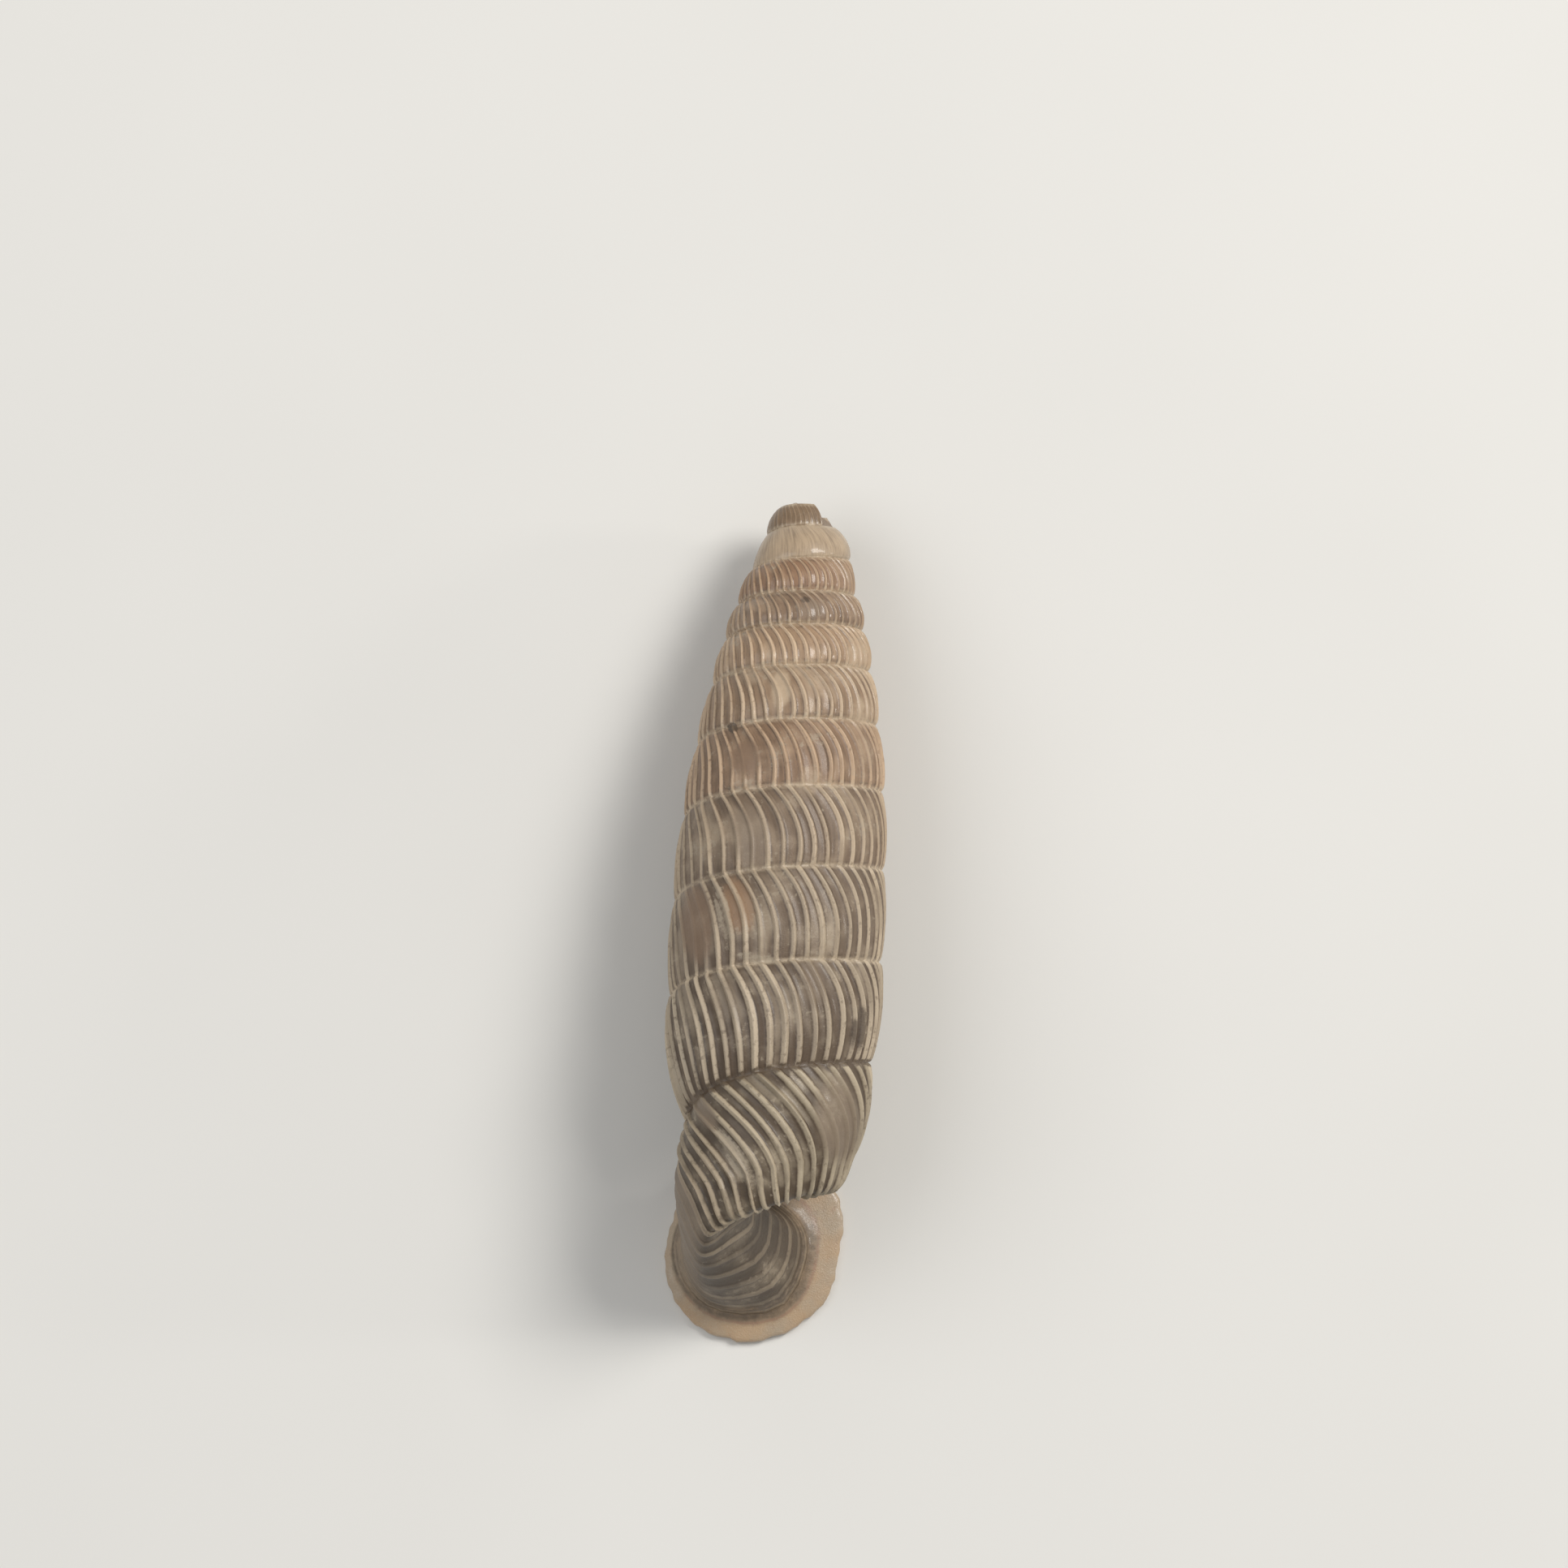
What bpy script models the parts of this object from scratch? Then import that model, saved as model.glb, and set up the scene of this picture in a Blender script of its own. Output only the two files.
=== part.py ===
"""Long ribbed land snail shell, lying on its belly and on the flared lip of its mouth.

One hollow piece. The wall is grown column by column along the coil. Every turn shares its lower
edge with the turn below it. The last turn comes free as a short neck that opens in a round lip.
Sizes are in millimetres, and the mesh is in metres.
"""

import math

import bmesh
import bpy
import numpy as np

MM = 0.001

# Coil: turns from the broken tip to where the neck comes free
RIBS_PER_TURN = 42
COLUMNS_PER_RIB = 2
SUTURE_SHIFT = 4
FIRST_TURN = -0.3
COLUMN_COUNT = 872
WALL_ROWS = 3
BODY_TILT = math.radians(6.5)

# Suture line: turn, distance below the tip, distance from the axis
SUTURE = (
    (-0.5, 0.00, 0.36),
    (0.0, 0.20, 0.50),
    (0.5, 0.45, 0.82),
    (1.0, 0.83, 0.90),
    (1.5, 1.20, 1.10),
    (2.0, 1.66, 1.16),
    (3.0, 2.49, 1.37),
    (4.0, 3.37, 1.59),
    (5.0, 4.50, 1.84),
    (6.0, 5.96, 2.12),
    (7.0, 7.71, 2.32),
    (8.0, 9.79, 2.42),
    (8.5, 10.95, 2.46),
    (9.0, 12.12, 2.34),
    (9.5, 13.39, 2.36),
    (9.75, 14.11, 2.21),
    (10.0, 15.05, 1.72),
    (10.2, 15.80, 1.56),
)

# How far each whorl bulges past the straight line between its sutures: turn, bulge
BULGE = (
    (0.0, 0.08),
    (2.0, 0.14),
    (8.3, 0.17),
    (8.6, 0.19),
    (9.0, 0.33),
    (9.3, 0.24),
    (9.5, 0.18),
    (10.2, 0.16),
)
WHORL_FULLNESS = 0.55

# Last turn below its wall: turn, distance below the tip, distance from the axis
SHOULDER = (
    (9.08, 15.35, 1.765),
    (9.3, 15.52, 2.06),
    (9.5, 15.62, 2.17),
    (9.75, 16.52, 2.08),
    (10.0, 17.40, 1.90),
)
KEEL = (
    (9.08, 15.80, 1.40),
    (9.3, 16.02, 1.60),
    (9.5, 16.44, 1.82),
    (9.62, 16.84, 1.77),
    (9.75, 17.40, 1.71),
    (9.85, 17.80, 1.56),
    (10.0, 18.42, 1.20),
)
BASE_MIDDLE = ((9.08, 16.10, 0.90), (9.5, 16.56, 1.00), (9.75, 17.08, 0.97), (10.0, 17.75, 0.74))
BASE_INNER = ((9.08, 16.30, 0.36), (9.5, 16.66, 0.40), (9.75, 16.94, 0.42), (10.0, 17.20, 0.42))
PIT_RADIUS = 0.24
PIT_HEIGHT = 16.42

# Ribs: turn, height
RIB_HEIGHT = (
    (-0.3, 0.020),
    (0.4, 0.010),
    (1.2, 0.014),
    (2.0, 0.040),
    (5.0, 0.055),
    (9.0, 0.070),
    (10.2, 0.070),
)
RIB_CURVE = 1.7
SHOULDER_SHARE = 0.72
LAG_AT_NAVEL = 1.2
RIB_AT_SUTURE = 0.3
RIB_LAG_AT_KEEL = ((9.12, 0.40), (9.4, 0.55), (9.66, 0.75), (9.83, 0.92), (9.95, 1.12), (10.1, 1.30))

# Neck and lip
LIP_CENTRE = (-0.08, -17.80)
NECK_BLEND = 1.35
NECK_END_HEIGHT = 0.45
NECK_RINGS = 12
NECK_START_PULL = 2.1
NECK_END_PULL = 1.4
NECK_RIB = 0.025
# Foot of the neck: degrees from +Y, counter-clockwise seen from above, distance from the lip centre
NECK_FOOT = (
    (0, 1.36),
    (45, 1.66),
    (90, 1.88),
    (128, 1.84),
    (182, 1.62),
    (210, 1.62),
    (248, 1.38),
    (285, 1.38),
    (325, 1.34),
    (360, 1.36),
)
# Direction on the foot that each place of the profile runs to. Past 5 the places run back.
FOOT_DEGREES = ((0, 0), (1, 92), (2, 135), (3.2, 215), (5, 290), (9, 360))
LIP_OUTLINE = (
    (0, 2.13),
    (40, 2.18),
    (78, 2.03),
    (99, 2.10),
    (116, 2.18),
    (140, 2.26),
    (178, 2.26),
    (217, 2.16),
    (236, 2.17),
    (275, 2.12),
    (289, 2.28),
    (308, 2.45),
    (335, 2.30),
    (360, 2.13),
)
# Lip section from the neck round the rim to the throat: share of the flare, height
LIP_SECTION = (
    (0.12, 0.39),
    (0.42, 0.31),
    (0.75, 0.26),
    (0.96, 0.21),
    (1.00, 0.11),
    (0.95, 0.00),
    (0.60, 0.00),
    (0.15, 0.06),
    (-0.15, 0.26),
)

# Hollow inside
WALL = 0.16
CAVITY_POINTS = 8
CAVITY_COLUMNS = 9
CAVITY_TOP_TURN = 1.0
CAVITY_END_TURN = 9.72
THROAT_START = 0.56
THROAT_END = 0.90
EASING_PASSES = 4

SHARP_ANGLE = math.radians(28.0)
SHELL_COLOUR = (0.40, 0.33, 0.26, 1.0)


def along(stations, position):
    """Smooth curve through the stations, read at each position."""
    table = np.array(stations, dtype=float)
    knots = table[:, 0]
    values = table[:, 1:]
    slopes = np.gradient(values, knots, axis=0)
    place = np.clip(np.asarray(position, dtype=float), knots[0], knots[-1])
    left = np.clip(np.searchsorted(knots, place, side="right") - 1, 0, len(knots) - 2)
    width = knots[left + 1] - knots[left]
    share = ((place - knots[left]) / width)[..., None]
    width = width[..., None]
    square = share * share
    cube = square * share
    result = (2 * cube - 3 * square + 1) * values[left]
    result += (cube - 2 * square + share) * width * slopes[left]
    result += (3 * square - 2 * cube) * values[left + 1]
    result += (cube - square) * width * slopes[left + 1]
    return result


def station(table, turn):
    """Distance from the axis and distance below the tip, read from a table of the coil."""
    return along(table, turn)[..., ::-1]


def suture(turn):
    return station(SUTURE, turn)


def wall_profile(turn, share):
    """Outer wall between the upper suture and the lower suture or shoulder."""
    upper = suture(turn)
    leaving = np.clip(1.0 - (turn - LOOSE_TURN) / 0.3, 0.0, 1.0)[..., None]
    step = suture(np.full_like(turn, END_TURN)) - station(SHOULDER, np.full_like(turn, LOOSE_TURN))
    free_edge = station(SHOULDER, turn) + step * leaving
    lower = np.where((turn < LOOSE_TURN)[..., None], suture(turn + 1.0), free_edge)
    point = upper + (lower - upper) * share[..., None]
    bulge = along(BULGE, turn)[..., 0] * np.sin(math.pi * share) ** WHORL_FULLNESS
    point[..., 0] += bulge
    return point


def base_profile(turn, place):
    """Underside of the last turn, from the shoulder over the keel to the navel."""
    place = np.clip(place, 0.0, 4.0)
    above = wall_profile(np.maximum(turn, LOOSE_TURN), np.full_like(turn, SHOULDER_SHARE))
    navel = np.zeros(turn.shape + (2,))
    navel[..., 0] = PIT_RADIUS
    navel[..., 1] = PIT_HEIGHT
    controls = [
        above,
        station(SHOULDER, turn),
        station(KEEL, turn),
        station(BASE_MIDDLE, turn),
        station(BASE_INNER, turn),
        navel,
        navel,
    ]
    controls = np.stack(controls, axis=0)
    left = np.minimum(np.floor(place).astype(int), 3)
    share = (place - left)[..., None]
    picks = []
    for step in range(4):
        picks.append(np.take_along_axis(controls, (left + step)[None, ..., None], axis=0)[0])
    before, start, end, after = picks
    square = share * share
    cube = square * share
    result = 2 * start + (end - before) * share
    result += (2 * before - 5 * start + 4 * end - after) * square
    result += (3 * start - before - 3 * end + after) * cube
    return 0.5 * result


def profile(turn, row_place):
    """Point of the turning profile. Places 0 to 1 are the wall, and 1 to 5 are the base."""
    wall = wall_profile(turn, np.clip(row_place, 0.0, 1.0))
    base = base_profile(turn, row_place - 1.0)
    return np.where((row_place <= 1.0)[..., None], wall, base)


def rib_lag(column_turn, row_place):
    """Angle by which a rib falls behind its start on the upper suture."""
    regular = 2 * math.pi * SUTURE_SHIFT / COLUMNS_PER_TURN
    at_keel = along(RIB_LAG_AT_KEEL, column_turn)[..., 0]
    loose = np.clip((column_turn - FREE_TURN) / 0.2, 0.0, 1.0)
    share = np.clip(row_place, 0.0, 1.0)
    low_share = 1.0 - (1.0 - SHOULDER_SHARE) ** RIB_CURVE
    at_shoulder = regular + (low_share * at_keel - regular) * loose
    regular_wall = regular * (1.0 - (1.0 - share) ** RIB_CURVE)
    loose_wall = at_keel * (1.0 - (1.0 - SHOULDER_SHARE * share) ** RIB_CURVE)
    wall = regular_wall * (1.0 - loose) + loose_wall * loose
    progress = np.clip((column_turn - FREE_TURN) / (END_TURN - FREE_TURN), 0.0, 1.0)
    at_navel = LAG_AT_NAVEL - regular * progress
    past = row_place - 1.0
    knots = [
        at_shoulder,
        at_keel,
        at_keel + 0.30 - 0.05 * progress,
        at_keel + 0.65 - 0.40 * progress,
        at_navel,
    ]
    base = knots[0] + 0.0 * past
    for step in range(4):
        base = base + (knots[step + 1] - knots[step]) * np.clip(past - step, 0.0, 1.0)
    return np.where(row_place <= 1.0, wall, base)


def rib_strength(rib_number):
    """Ribs differ a little in height."""
    wave = np.sin(rib_number * 2.4) + 0.6 * np.sin(rib_number * 0.71 + 1.0)
    return 0.85 + 0.22 * wave


def shell_points(column, row_place):
    """Points of the coiled wall, in millimetres about the shell's own axis."""
    column_turn = FIRST_TURN + column / COLUMNS_PER_TURN
    turn = column_turn - rib_lag(column_turn, row_place) / (2 * math.pi)
    point = profile(turn, row_place)
    ahead = profile(turn, row_place + 0.02)
    behind = profile(turn, np.maximum(row_place - 0.02, 0.0))
    tangent = ahead - behind
    length = np.maximum(np.linalg.norm(tangent, axis=-1), 1e-9)
    outward = np.stack([tangent[..., 1], -tangent[..., 0]], axis=-1) / length[..., None]
    at_suture = (row_place < 0.01) | ((np.abs(row_place - 1.0) < 0.01) & (turn < LOOSE_TURN))
    outward[at_suture] = (1.0, 0.0)
    rib_number = np.floor(column / COLUMNS_PER_RIB + 0.5)
    crest = np.cos(2 * math.pi * column / COLUMNS_PER_RIB)
    height = along(RIB_HEIGHT, turn)[..., 0] * rib_strength(rib_number)
    fade = np.clip((4.6 - row_place) / 1.5, 0.0, 1.0)
    fade = np.where(at_suture, RIB_AT_SUTURE, fade)
    lift = 0.5 * height * crest * fade
    radius = point[..., 0] + outward[..., 0] * lift
    below = point[..., 1] + outward[..., 1] * lift
    return turned(radius, below, turn)


def turned(radius, below, turn):
    """Places a profile point at its angle about the axis, with the tip towards +Y."""
    angle = 2 * math.pi * (turn - 3.5)
    x = radius * np.cos(angle)
    z = radius * np.sin(angle)
    return np.stack([x, -below, z], axis=-1)


def tilted(points):
    """Leans the coil so that its tip dips and its mouth end stands clear of the ground."""
    cosine = math.cos(BODY_TILT)
    sine = math.sin(BODY_TILT)
    x = points[..., 0]
    y = points[..., 1] * cosine + points[..., 2] * sine
    z = points[..., 2] * cosine - points[..., 1] * sine
    return np.stack([x, y, z], axis=-1)


def cavity_ring(column_turn, count):
    """One closed ring of the hollow, inside the wall of the turn it belongs to."""
    step = 2 * math.pi * np.arange(count) / count
    height_share = 0.5 - 0.5 * np.cos(step)
    place = np.full(count, column_turn)
    last = np.clip((place - FREE_TURN) / 0.2, 0.0, 1.0)
    lag = along(RIB_LAG_AT_KEEL, place)[..., 0] * last
    turn = place - lag * height_share / (2 * math.pi)
    upper = suture(turn)
    free = np.clip((turn - LOOSE_TURN + 0.1) / 0.3, 0.0, 1.0)
    lower_suture = suture(np.minimum(turn + 1.0, END_TURN))
    keel = station(KEEL, turn)
    middle = station(BASE_MIDDLE, turn)
    bottom = lower_suture[..., 1] * (1 - free) + (0.35 * keel[..., 1] + 0.65 * middle[..., 1]) * free
    outer = np.minimum(upper[..., 0], lower_suture[..., 0]) * (1 - free) + 0.97 * upper[..., 0] * free
    room = bottom - upper[..., 1]
    wall = np.minimum(WALL, 0.2 * room)
    inner = 0.14 + 0.32 * free + 0.05 * upper[..., 0]
    outer = outer - wall
    half_width = 0.5 * (outer - inner)
    half_height = 0.5 * room - wall
    across = np.sin(step)
    along_axis = -np.cos(step)
    corner = 1.0 / np.maximum(np.abs(across) ** 2.6 + np.abs(along_axis) ** 2.6, 1e-9) ** (1 / 2.6)
    corner = 1.0 + (corner - 1.0) * (1 - free)
    radius = 0.5 * (outer + inner) + half_width * across * corner
    below = 0.5 * (bottom + upper[..., 1]) + half_height * along_axis * corner
    return turned(radius, below, turn)


COLUMNS_PER_TURN = RIBS_PER_TURN * COLUMNS_PER_RIB
TURN_SHARE = COLUMNS_PER_TURN - SUTURE_SHIFT
END_TURN = FIRST_TURN + COLUMN_COUNT / COLUMNS_PER_TURN
FREE_COLUMN = COLUMN_COUNT - TURN_SHARE
FREE_TURN = FIRST_TURN + FREE_COLUMN / COLUMNS_PER_TURN
LOOSE_TURN = END_TURN - 1.0


class ShellMesh:
    """Collects the points and faces of the shell."""

    def __init__(self):
        self.points = []
        self.faces = []

    def add(self, point):
        self.points.append(tuple(float(value) for value in point))
        return len(self.points) - 1

    def add_ring(self, points):
        return [self.add(point) for point in points]

    def bridge(self, first, second):
        """Joins two closed rings of any two counts with triangles or quads."""
        if len(first) == len(second):
            count = len(first)
            for step in range(count):
                after = (step + 1) % count
                self.faces.append((first[step], first[after], second[after], second[step]))
            return
        a = 0
        b = 0
        while a < len(first) or b < len(second):
            share_a = (a + 0.5) / len(first)
            share_b = (b + 0.5) / len(second)
            here = first[a % len(first)]
            there = second[b % len(second)]
            if b >= len(second) or (a < len(first) and share_a <= share_b):
                self.faces.append((here, first[(a + 1) % len(first)], there))
                a += 1
            else:
                self.faces.append((here, second[(b + 1) % len(second)], there))
                b += 1

    def close(self, ring, middle):
        """Closes a ring with a fan to one middle point."""
        centre = self.add(middle)
        for step in range(len(ring)):
            self.faces.append((ring[step], ring[(step + 1) % len(ring)], centre))


def grown_wall(mesh):
    """Coiled wall, base and navel. Returns the closed ring where the neck comes free, and its places."""
    wall_places = np.array([0.0, 0.14, 0.58, 1.0])
    base_places = np.array([2.0, 2.6, 3.2, 4.0, 4.3, 4.55, 4.8, 5.0])
    top_edge = []
    wall = {}
    everything = []
    for column in range(COLUMN_COUNT + 1):
        for row in range(WALL_ROWS):
            everything.append((column, row, wall_places[row]))
        if column > FREE_COLUMN:
            everything.append((column, WALL_ROWS, 1.0))
        if column >= FREE_COLUMN:
            for step, place in enumerate(base_places):
                everything.append((column, WALL_ROWS + 1 + step, place))
    last_row = WALL_ROWS + len(base_places)
    columns = np.array([entry[0] for entry in everything], dtype=float)
    places = np.array([entry[2] for entry in everything], dtype=float)
    points = tilted(shell_points(columns, places))
    for entry, point in zip(everything, points):
        if entry[0] == COLUMN_COUNT and entry[1] == last_row:
            continue
        wall[entry[0], entry[1]] = mesh.add(point)
    for column in range(FREE_COLUMN + 1):
        wall[column, WALL_ROWS] = wall[column + TURN_SHARE, 0]
    wall[COLUMN_COUNT, last_row] = wall[FREE_COLUMN, last_row]
    for column in range(COLUMN_COUNT):
        rows = last_row if column >= FREE_COLUMN else WALL_ROWS
        for row in range(rows):
            corners = (
                wall[column, row],
                wall[column + 1, row],
                wall[column + 1, row + 1],
                wall[column, row + 1],
            )
            mesh.faces.append(corners)
    navel = [wall[column, last_row] for column in range(FREE_COLUMN, COLUMN_COUNT)]
    navel_middle = np.mean([mesh.points[index] for index in navel], axis=0)
    mesh.close(navel, navel_middle)
    for column in range(TURN_SHARE + 1):
        top_edge.append(wall[column, 0])
    for row in range(WALL_ROWS - 1, 0, -1):
        top_edge.append(wall[0, row])
    close_tip(mesh, top_edge)
    row_places = np.concatenate([wall_places, base_places])
    ring = [wall[COLUMN_COUNT, row] for row in range(last_row + 1)]
    for row in range(last_row - 1, WALL_ROWS, -1):
        ring.append(wall[FREE_COLUMN, row])
    return ring, np.concatenate([row_places, 10.0 - row_places[last_row - 1 : WALL_ROWS : -1]])


def close_tip(mesh, edge):
    """Rough broken end over the first turn."""
    rim = np.array([mesh.points[index] for index in edge])
    middle = tilted(np.array([[-0.08, -0.06, 0.02]]))[0]
    count = len(edge)
    step = 2 * math.pi * np.arange(count) / count
    wobble = 0.03 * np.sin(3 * step + 0.5) + 0.025 * np.sin(7 * step)
    ring = middle + (rim - middle) * 0.66
    ring[:, 1] = 0.45 * ring[:, 1] - 0.02 + wobble
    inner = mesh.add_ring(ring)
    mesh.bridge(edge, inner)
    mesh.close(inner, middle + np.array([0.0, -0.05, 0.0]))


def smooth_path(start, start_pull, end, end_pull, share):
    """Curve from one place to another with a given pull at each end."""
    square = share * share
    cube = square * share
    result = (2 * cube - 3 * square + 1) * start
    result = result + (cube - 2 * square + share) * start_pull
    result = result + (3 * square - 2 * cube) * end
    return result + (cube - square) * end_pull


def ring_normal(points):
    """Mean direction square to a closed ring."""
    centre = points.mean(axis=0)
    arms = points - centre
    total = np.cross(arms, np.roll(arms, -1, axis=0)).sum(axis=0)
    return total / np.linalg.norm(total)


def rotation_between(first, second, share):
    """Matrix that turns the first direction part of the way towards the second."""
    axis = np.cross(first, second)
    sine = np.linalg.norm(axis)
    angle = math.atan2(sine, float(np.dot(first, second))) * share
    axis = axis / sine
    skew = np.array(
        [[0, -axis[2], axis[1]], [axis[2], 0, -axis[0]], [-axis[1], axis[0], 0]]
    )
    return np.eye(3) + math.sin(angle) * skew + (1 - math.cos(angle)) * (skew @ skew)


def foot_radius(angles):
    """Distance of the neck's foot from the lip centre."""
    return along(NECK_FOOT, np.degrees(angles) % 360.0)[..., 0]


def neck_rings(start_points, places):
    """Free neck, from the last ring of the coil to the foot of the lip."""
    start_centre = start_points.mean(axis=0)
    direction = ring_normal(start_points)
    if direction[2] > 0:
        direction = -direction
    down = np.array([0.0, 0.0, -1.0])
    end_centre = np.array([LIP_CENTRE[0], LIP_CENTRE[1], NECK_END_HEIGHT])
    arms = start_points - start_centre
    full_turn = rotation_between(direction, down, 1.0)
    angles = np.radians(along(FOOT_DEGREES, places)[..., 0])
    reach = foot_radius(angles)
    foot = np.stack([-reach * np.sin(angles), reach * np.cos(angles), 0.0 * reach], axis=1)
    rings = []
    for number in range(1, NECK_RINGS + 1):
        share = number / NECK_RINGS
        centre = smooth_path(
            start_centre, direction * NECK_START_PULL, end_centre, down * NECK_END_PULL, share
        )
        part = rotation_between(direction, down, share)
        blend = share ** NECK_BLEND
        bend = part @ full_turn.T
        shape = (arms @ part.T) * (1 - blend) + (foot @ bend.T) * blend
        swell = 1.0 + NECK_RIB / reach.mean() * (1 if number % 2 else -1)
        rings.append(centre + shape * swell)
    return rings, angles


def lip_ring(angles, flare, height):
    """Ring of the lip. Flare 0 is the neck, and 1 is the outer edge."""
    degrees = np.degrees(angles) % 360.0
    outer = along(LIP_OUTLINE, degrees)[..., 0]
    foot = foot_radius(angles)
    radius = foot + (outer - foot) * flare
    x = LIP_CENTRE[0] - radius * np.sin(angles)
    y = LIP_CENTRE[1] + radius * np.cos(angles)
    return np.stack([x, y, np.full_like(x, height)], axis=1)


def doubled(angles):
    """Adds an angle halfway between each two neighbours."""
    after = np.append(angles[1:], angles[0] + 2 * math.pi)
    return np.stack([angles, 0.5 * (angles + after)], axis=1).ravel()


def drawn_in(points, share):
    """The same ring, with its corners eased and drawn in towards its middle."""
    eased = points
    for _ in range(EASING_PASSES):
        neighbours = np.roll(eased, 1, axis=0) + np.roll(eased, -1, axis=0)
        eased = 0.5 * eased + 0.25 * neighbours
    centre = eased.mean(axis=0)
    return centre + (eased - centre) * share


def build_shell():
    mesh = ShellMesh()
    opening, places = grown_wall(mesh)
    lowest = min(point[2] for point in mesh.points)
    mesh.points = [(x, y, z - lowest) for x, y, z in mesh.points]
    start = np.array([mesh.points[index] for index in opening])
    outside, angles = neck_rings(start, places)
    ring = opening
    for points in outside:
        following = mesh.add_ring(points)
        mesh.bridge(ring, following)
        ring = following
    for flare, height in LIP_SECTION:
        following = mesh.add_ring(lip_ring(doubled(angles), flare, height))
        mesh.bridge(ring, following)
        ring = following
    inside = [start] + outside[1::2]
    for number in range(len(inside) - 1, -1, -1):
        share = THROAT_START + (THROAT_END - THROAT_START) * number / (len(inside) - 1)
        following = mesh.add_ring(drawn_in(inside[number], share))
        mesh.bridge(ring, following)
        ring = following
    ring_count = int(round((CAVITY_END_TURN - CAVITY_TOP_TURN) * CAVITY_COLUMNS))
    for number in range(ring_count + 1):
        turn = CAVITY_END_TURN - number / CAVITY_COLUMNS
        points = tilted(cavity_ring(turn, CAVITY_POINTS))
        points[:, 2] -= lowest
        following = mesh.add_ring(points)
        mesh.bridge(ring, following)
        ring = following
    mesh.close(ring, np.mean([mesh.points[index] for index in ring], axis=0))
    return mesh


def shell_material():
    material = bpy.data.materials.new("shell_wall")
    material.use_nodes = True
    shader = material.node_tree.nodes["Principled BSDF"]
    shader.inputs["Base Color"].default_value = SHELL_COLOUR
    shader.inputs["Roughness"].default_value = 0.5
    material.diffuse_color = SHELL_COLOUR
    return material


def main():
    for thing in list(bpy.data.objects):
        bpy.data.objects.remove(thing, do_unlink=True)
    built = build_shell()
    points = np.array(built.points) * MM
    middle = 0.5 * (points.max(axis=0) + points.min(axis=0))
    points[:, 0] -= middle[0]
    points[:, 1] -= middle[1]
    points[:, 2] -= points[:, 2].min()
    data = bpy.data.meshes.new("shell")
    data.from_pydata([tuple(point) for point in points], [], built.faces)
    shaped = bmesh.new()
    shaped.from_mesh(data)
    bmesh.ops.recalc_face_normals(shaped, faces=shaped.faces)
    bmesh.ops.triangulate(shaped, faces=shaped.faces)
    shaped.to_mesh(data)
    shaped.free()
    data.shade_smooth()
    data.set_sharp_from_angle(angle=SHARP_ANGLE)
    data.materials.append(shell_material())
    shell = bpy.data.objects.new("shell", data)
    bpy.context.scene.collection.objects.link(shell)


main()
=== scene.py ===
"""Dressed scene of a long ribbed land snail shell that lies on its belly and its lip.

The shell is one piece. Its skin is grown rib by rib along the coil with nearly the same sizes as
the solid model, only finer. Sizes are in millimetres, and the finished mesh is in metres.
"""

import logging
import math
from dataclasses import dataclass, field
from enum import Enum
from typing import Union

import bpy
import numpy as np
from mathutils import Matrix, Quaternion, Vector


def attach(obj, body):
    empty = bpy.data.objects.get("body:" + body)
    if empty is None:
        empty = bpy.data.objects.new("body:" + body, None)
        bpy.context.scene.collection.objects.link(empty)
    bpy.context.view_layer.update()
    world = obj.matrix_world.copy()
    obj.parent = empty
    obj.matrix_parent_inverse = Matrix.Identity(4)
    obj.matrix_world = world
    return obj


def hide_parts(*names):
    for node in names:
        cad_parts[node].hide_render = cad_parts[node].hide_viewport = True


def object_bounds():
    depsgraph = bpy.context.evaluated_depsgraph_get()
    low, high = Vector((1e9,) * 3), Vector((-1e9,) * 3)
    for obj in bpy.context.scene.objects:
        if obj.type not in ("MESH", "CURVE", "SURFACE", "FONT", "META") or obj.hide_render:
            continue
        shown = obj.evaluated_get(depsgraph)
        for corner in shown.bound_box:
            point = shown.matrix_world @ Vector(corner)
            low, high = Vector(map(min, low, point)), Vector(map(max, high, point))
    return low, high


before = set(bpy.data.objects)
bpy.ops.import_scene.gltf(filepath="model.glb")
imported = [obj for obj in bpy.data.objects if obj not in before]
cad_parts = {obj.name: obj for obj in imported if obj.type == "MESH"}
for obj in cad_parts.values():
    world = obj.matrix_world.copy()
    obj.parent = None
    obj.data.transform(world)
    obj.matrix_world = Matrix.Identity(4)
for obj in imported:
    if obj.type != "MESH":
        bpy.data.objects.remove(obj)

CAD_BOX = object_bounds()
MM = 0.001
FULL_TURN = 2 * math.pi
CAMERA_LEAN = 4.0
TURN_ON_THE_RIGHT = 3.5
CREST_MEAN = 0.28
AXIS_RISE = 0.1137

# Distance that stands for no suture near, in millimetres
FAR_FROM_SUTURE = 2.0

# Rib from which the ribs get wider apart, how many ribs that takes, and by what share
THIN_START = 393.0
THIN_SPAN = 12.0
THIN_SHARE = 0.25

Stations = tuple[tuple[float, ...], ...]

logging.basicConfig(level=logging.INFO, format="%(message)s")
log = logging.getLogger("shell")


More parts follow.
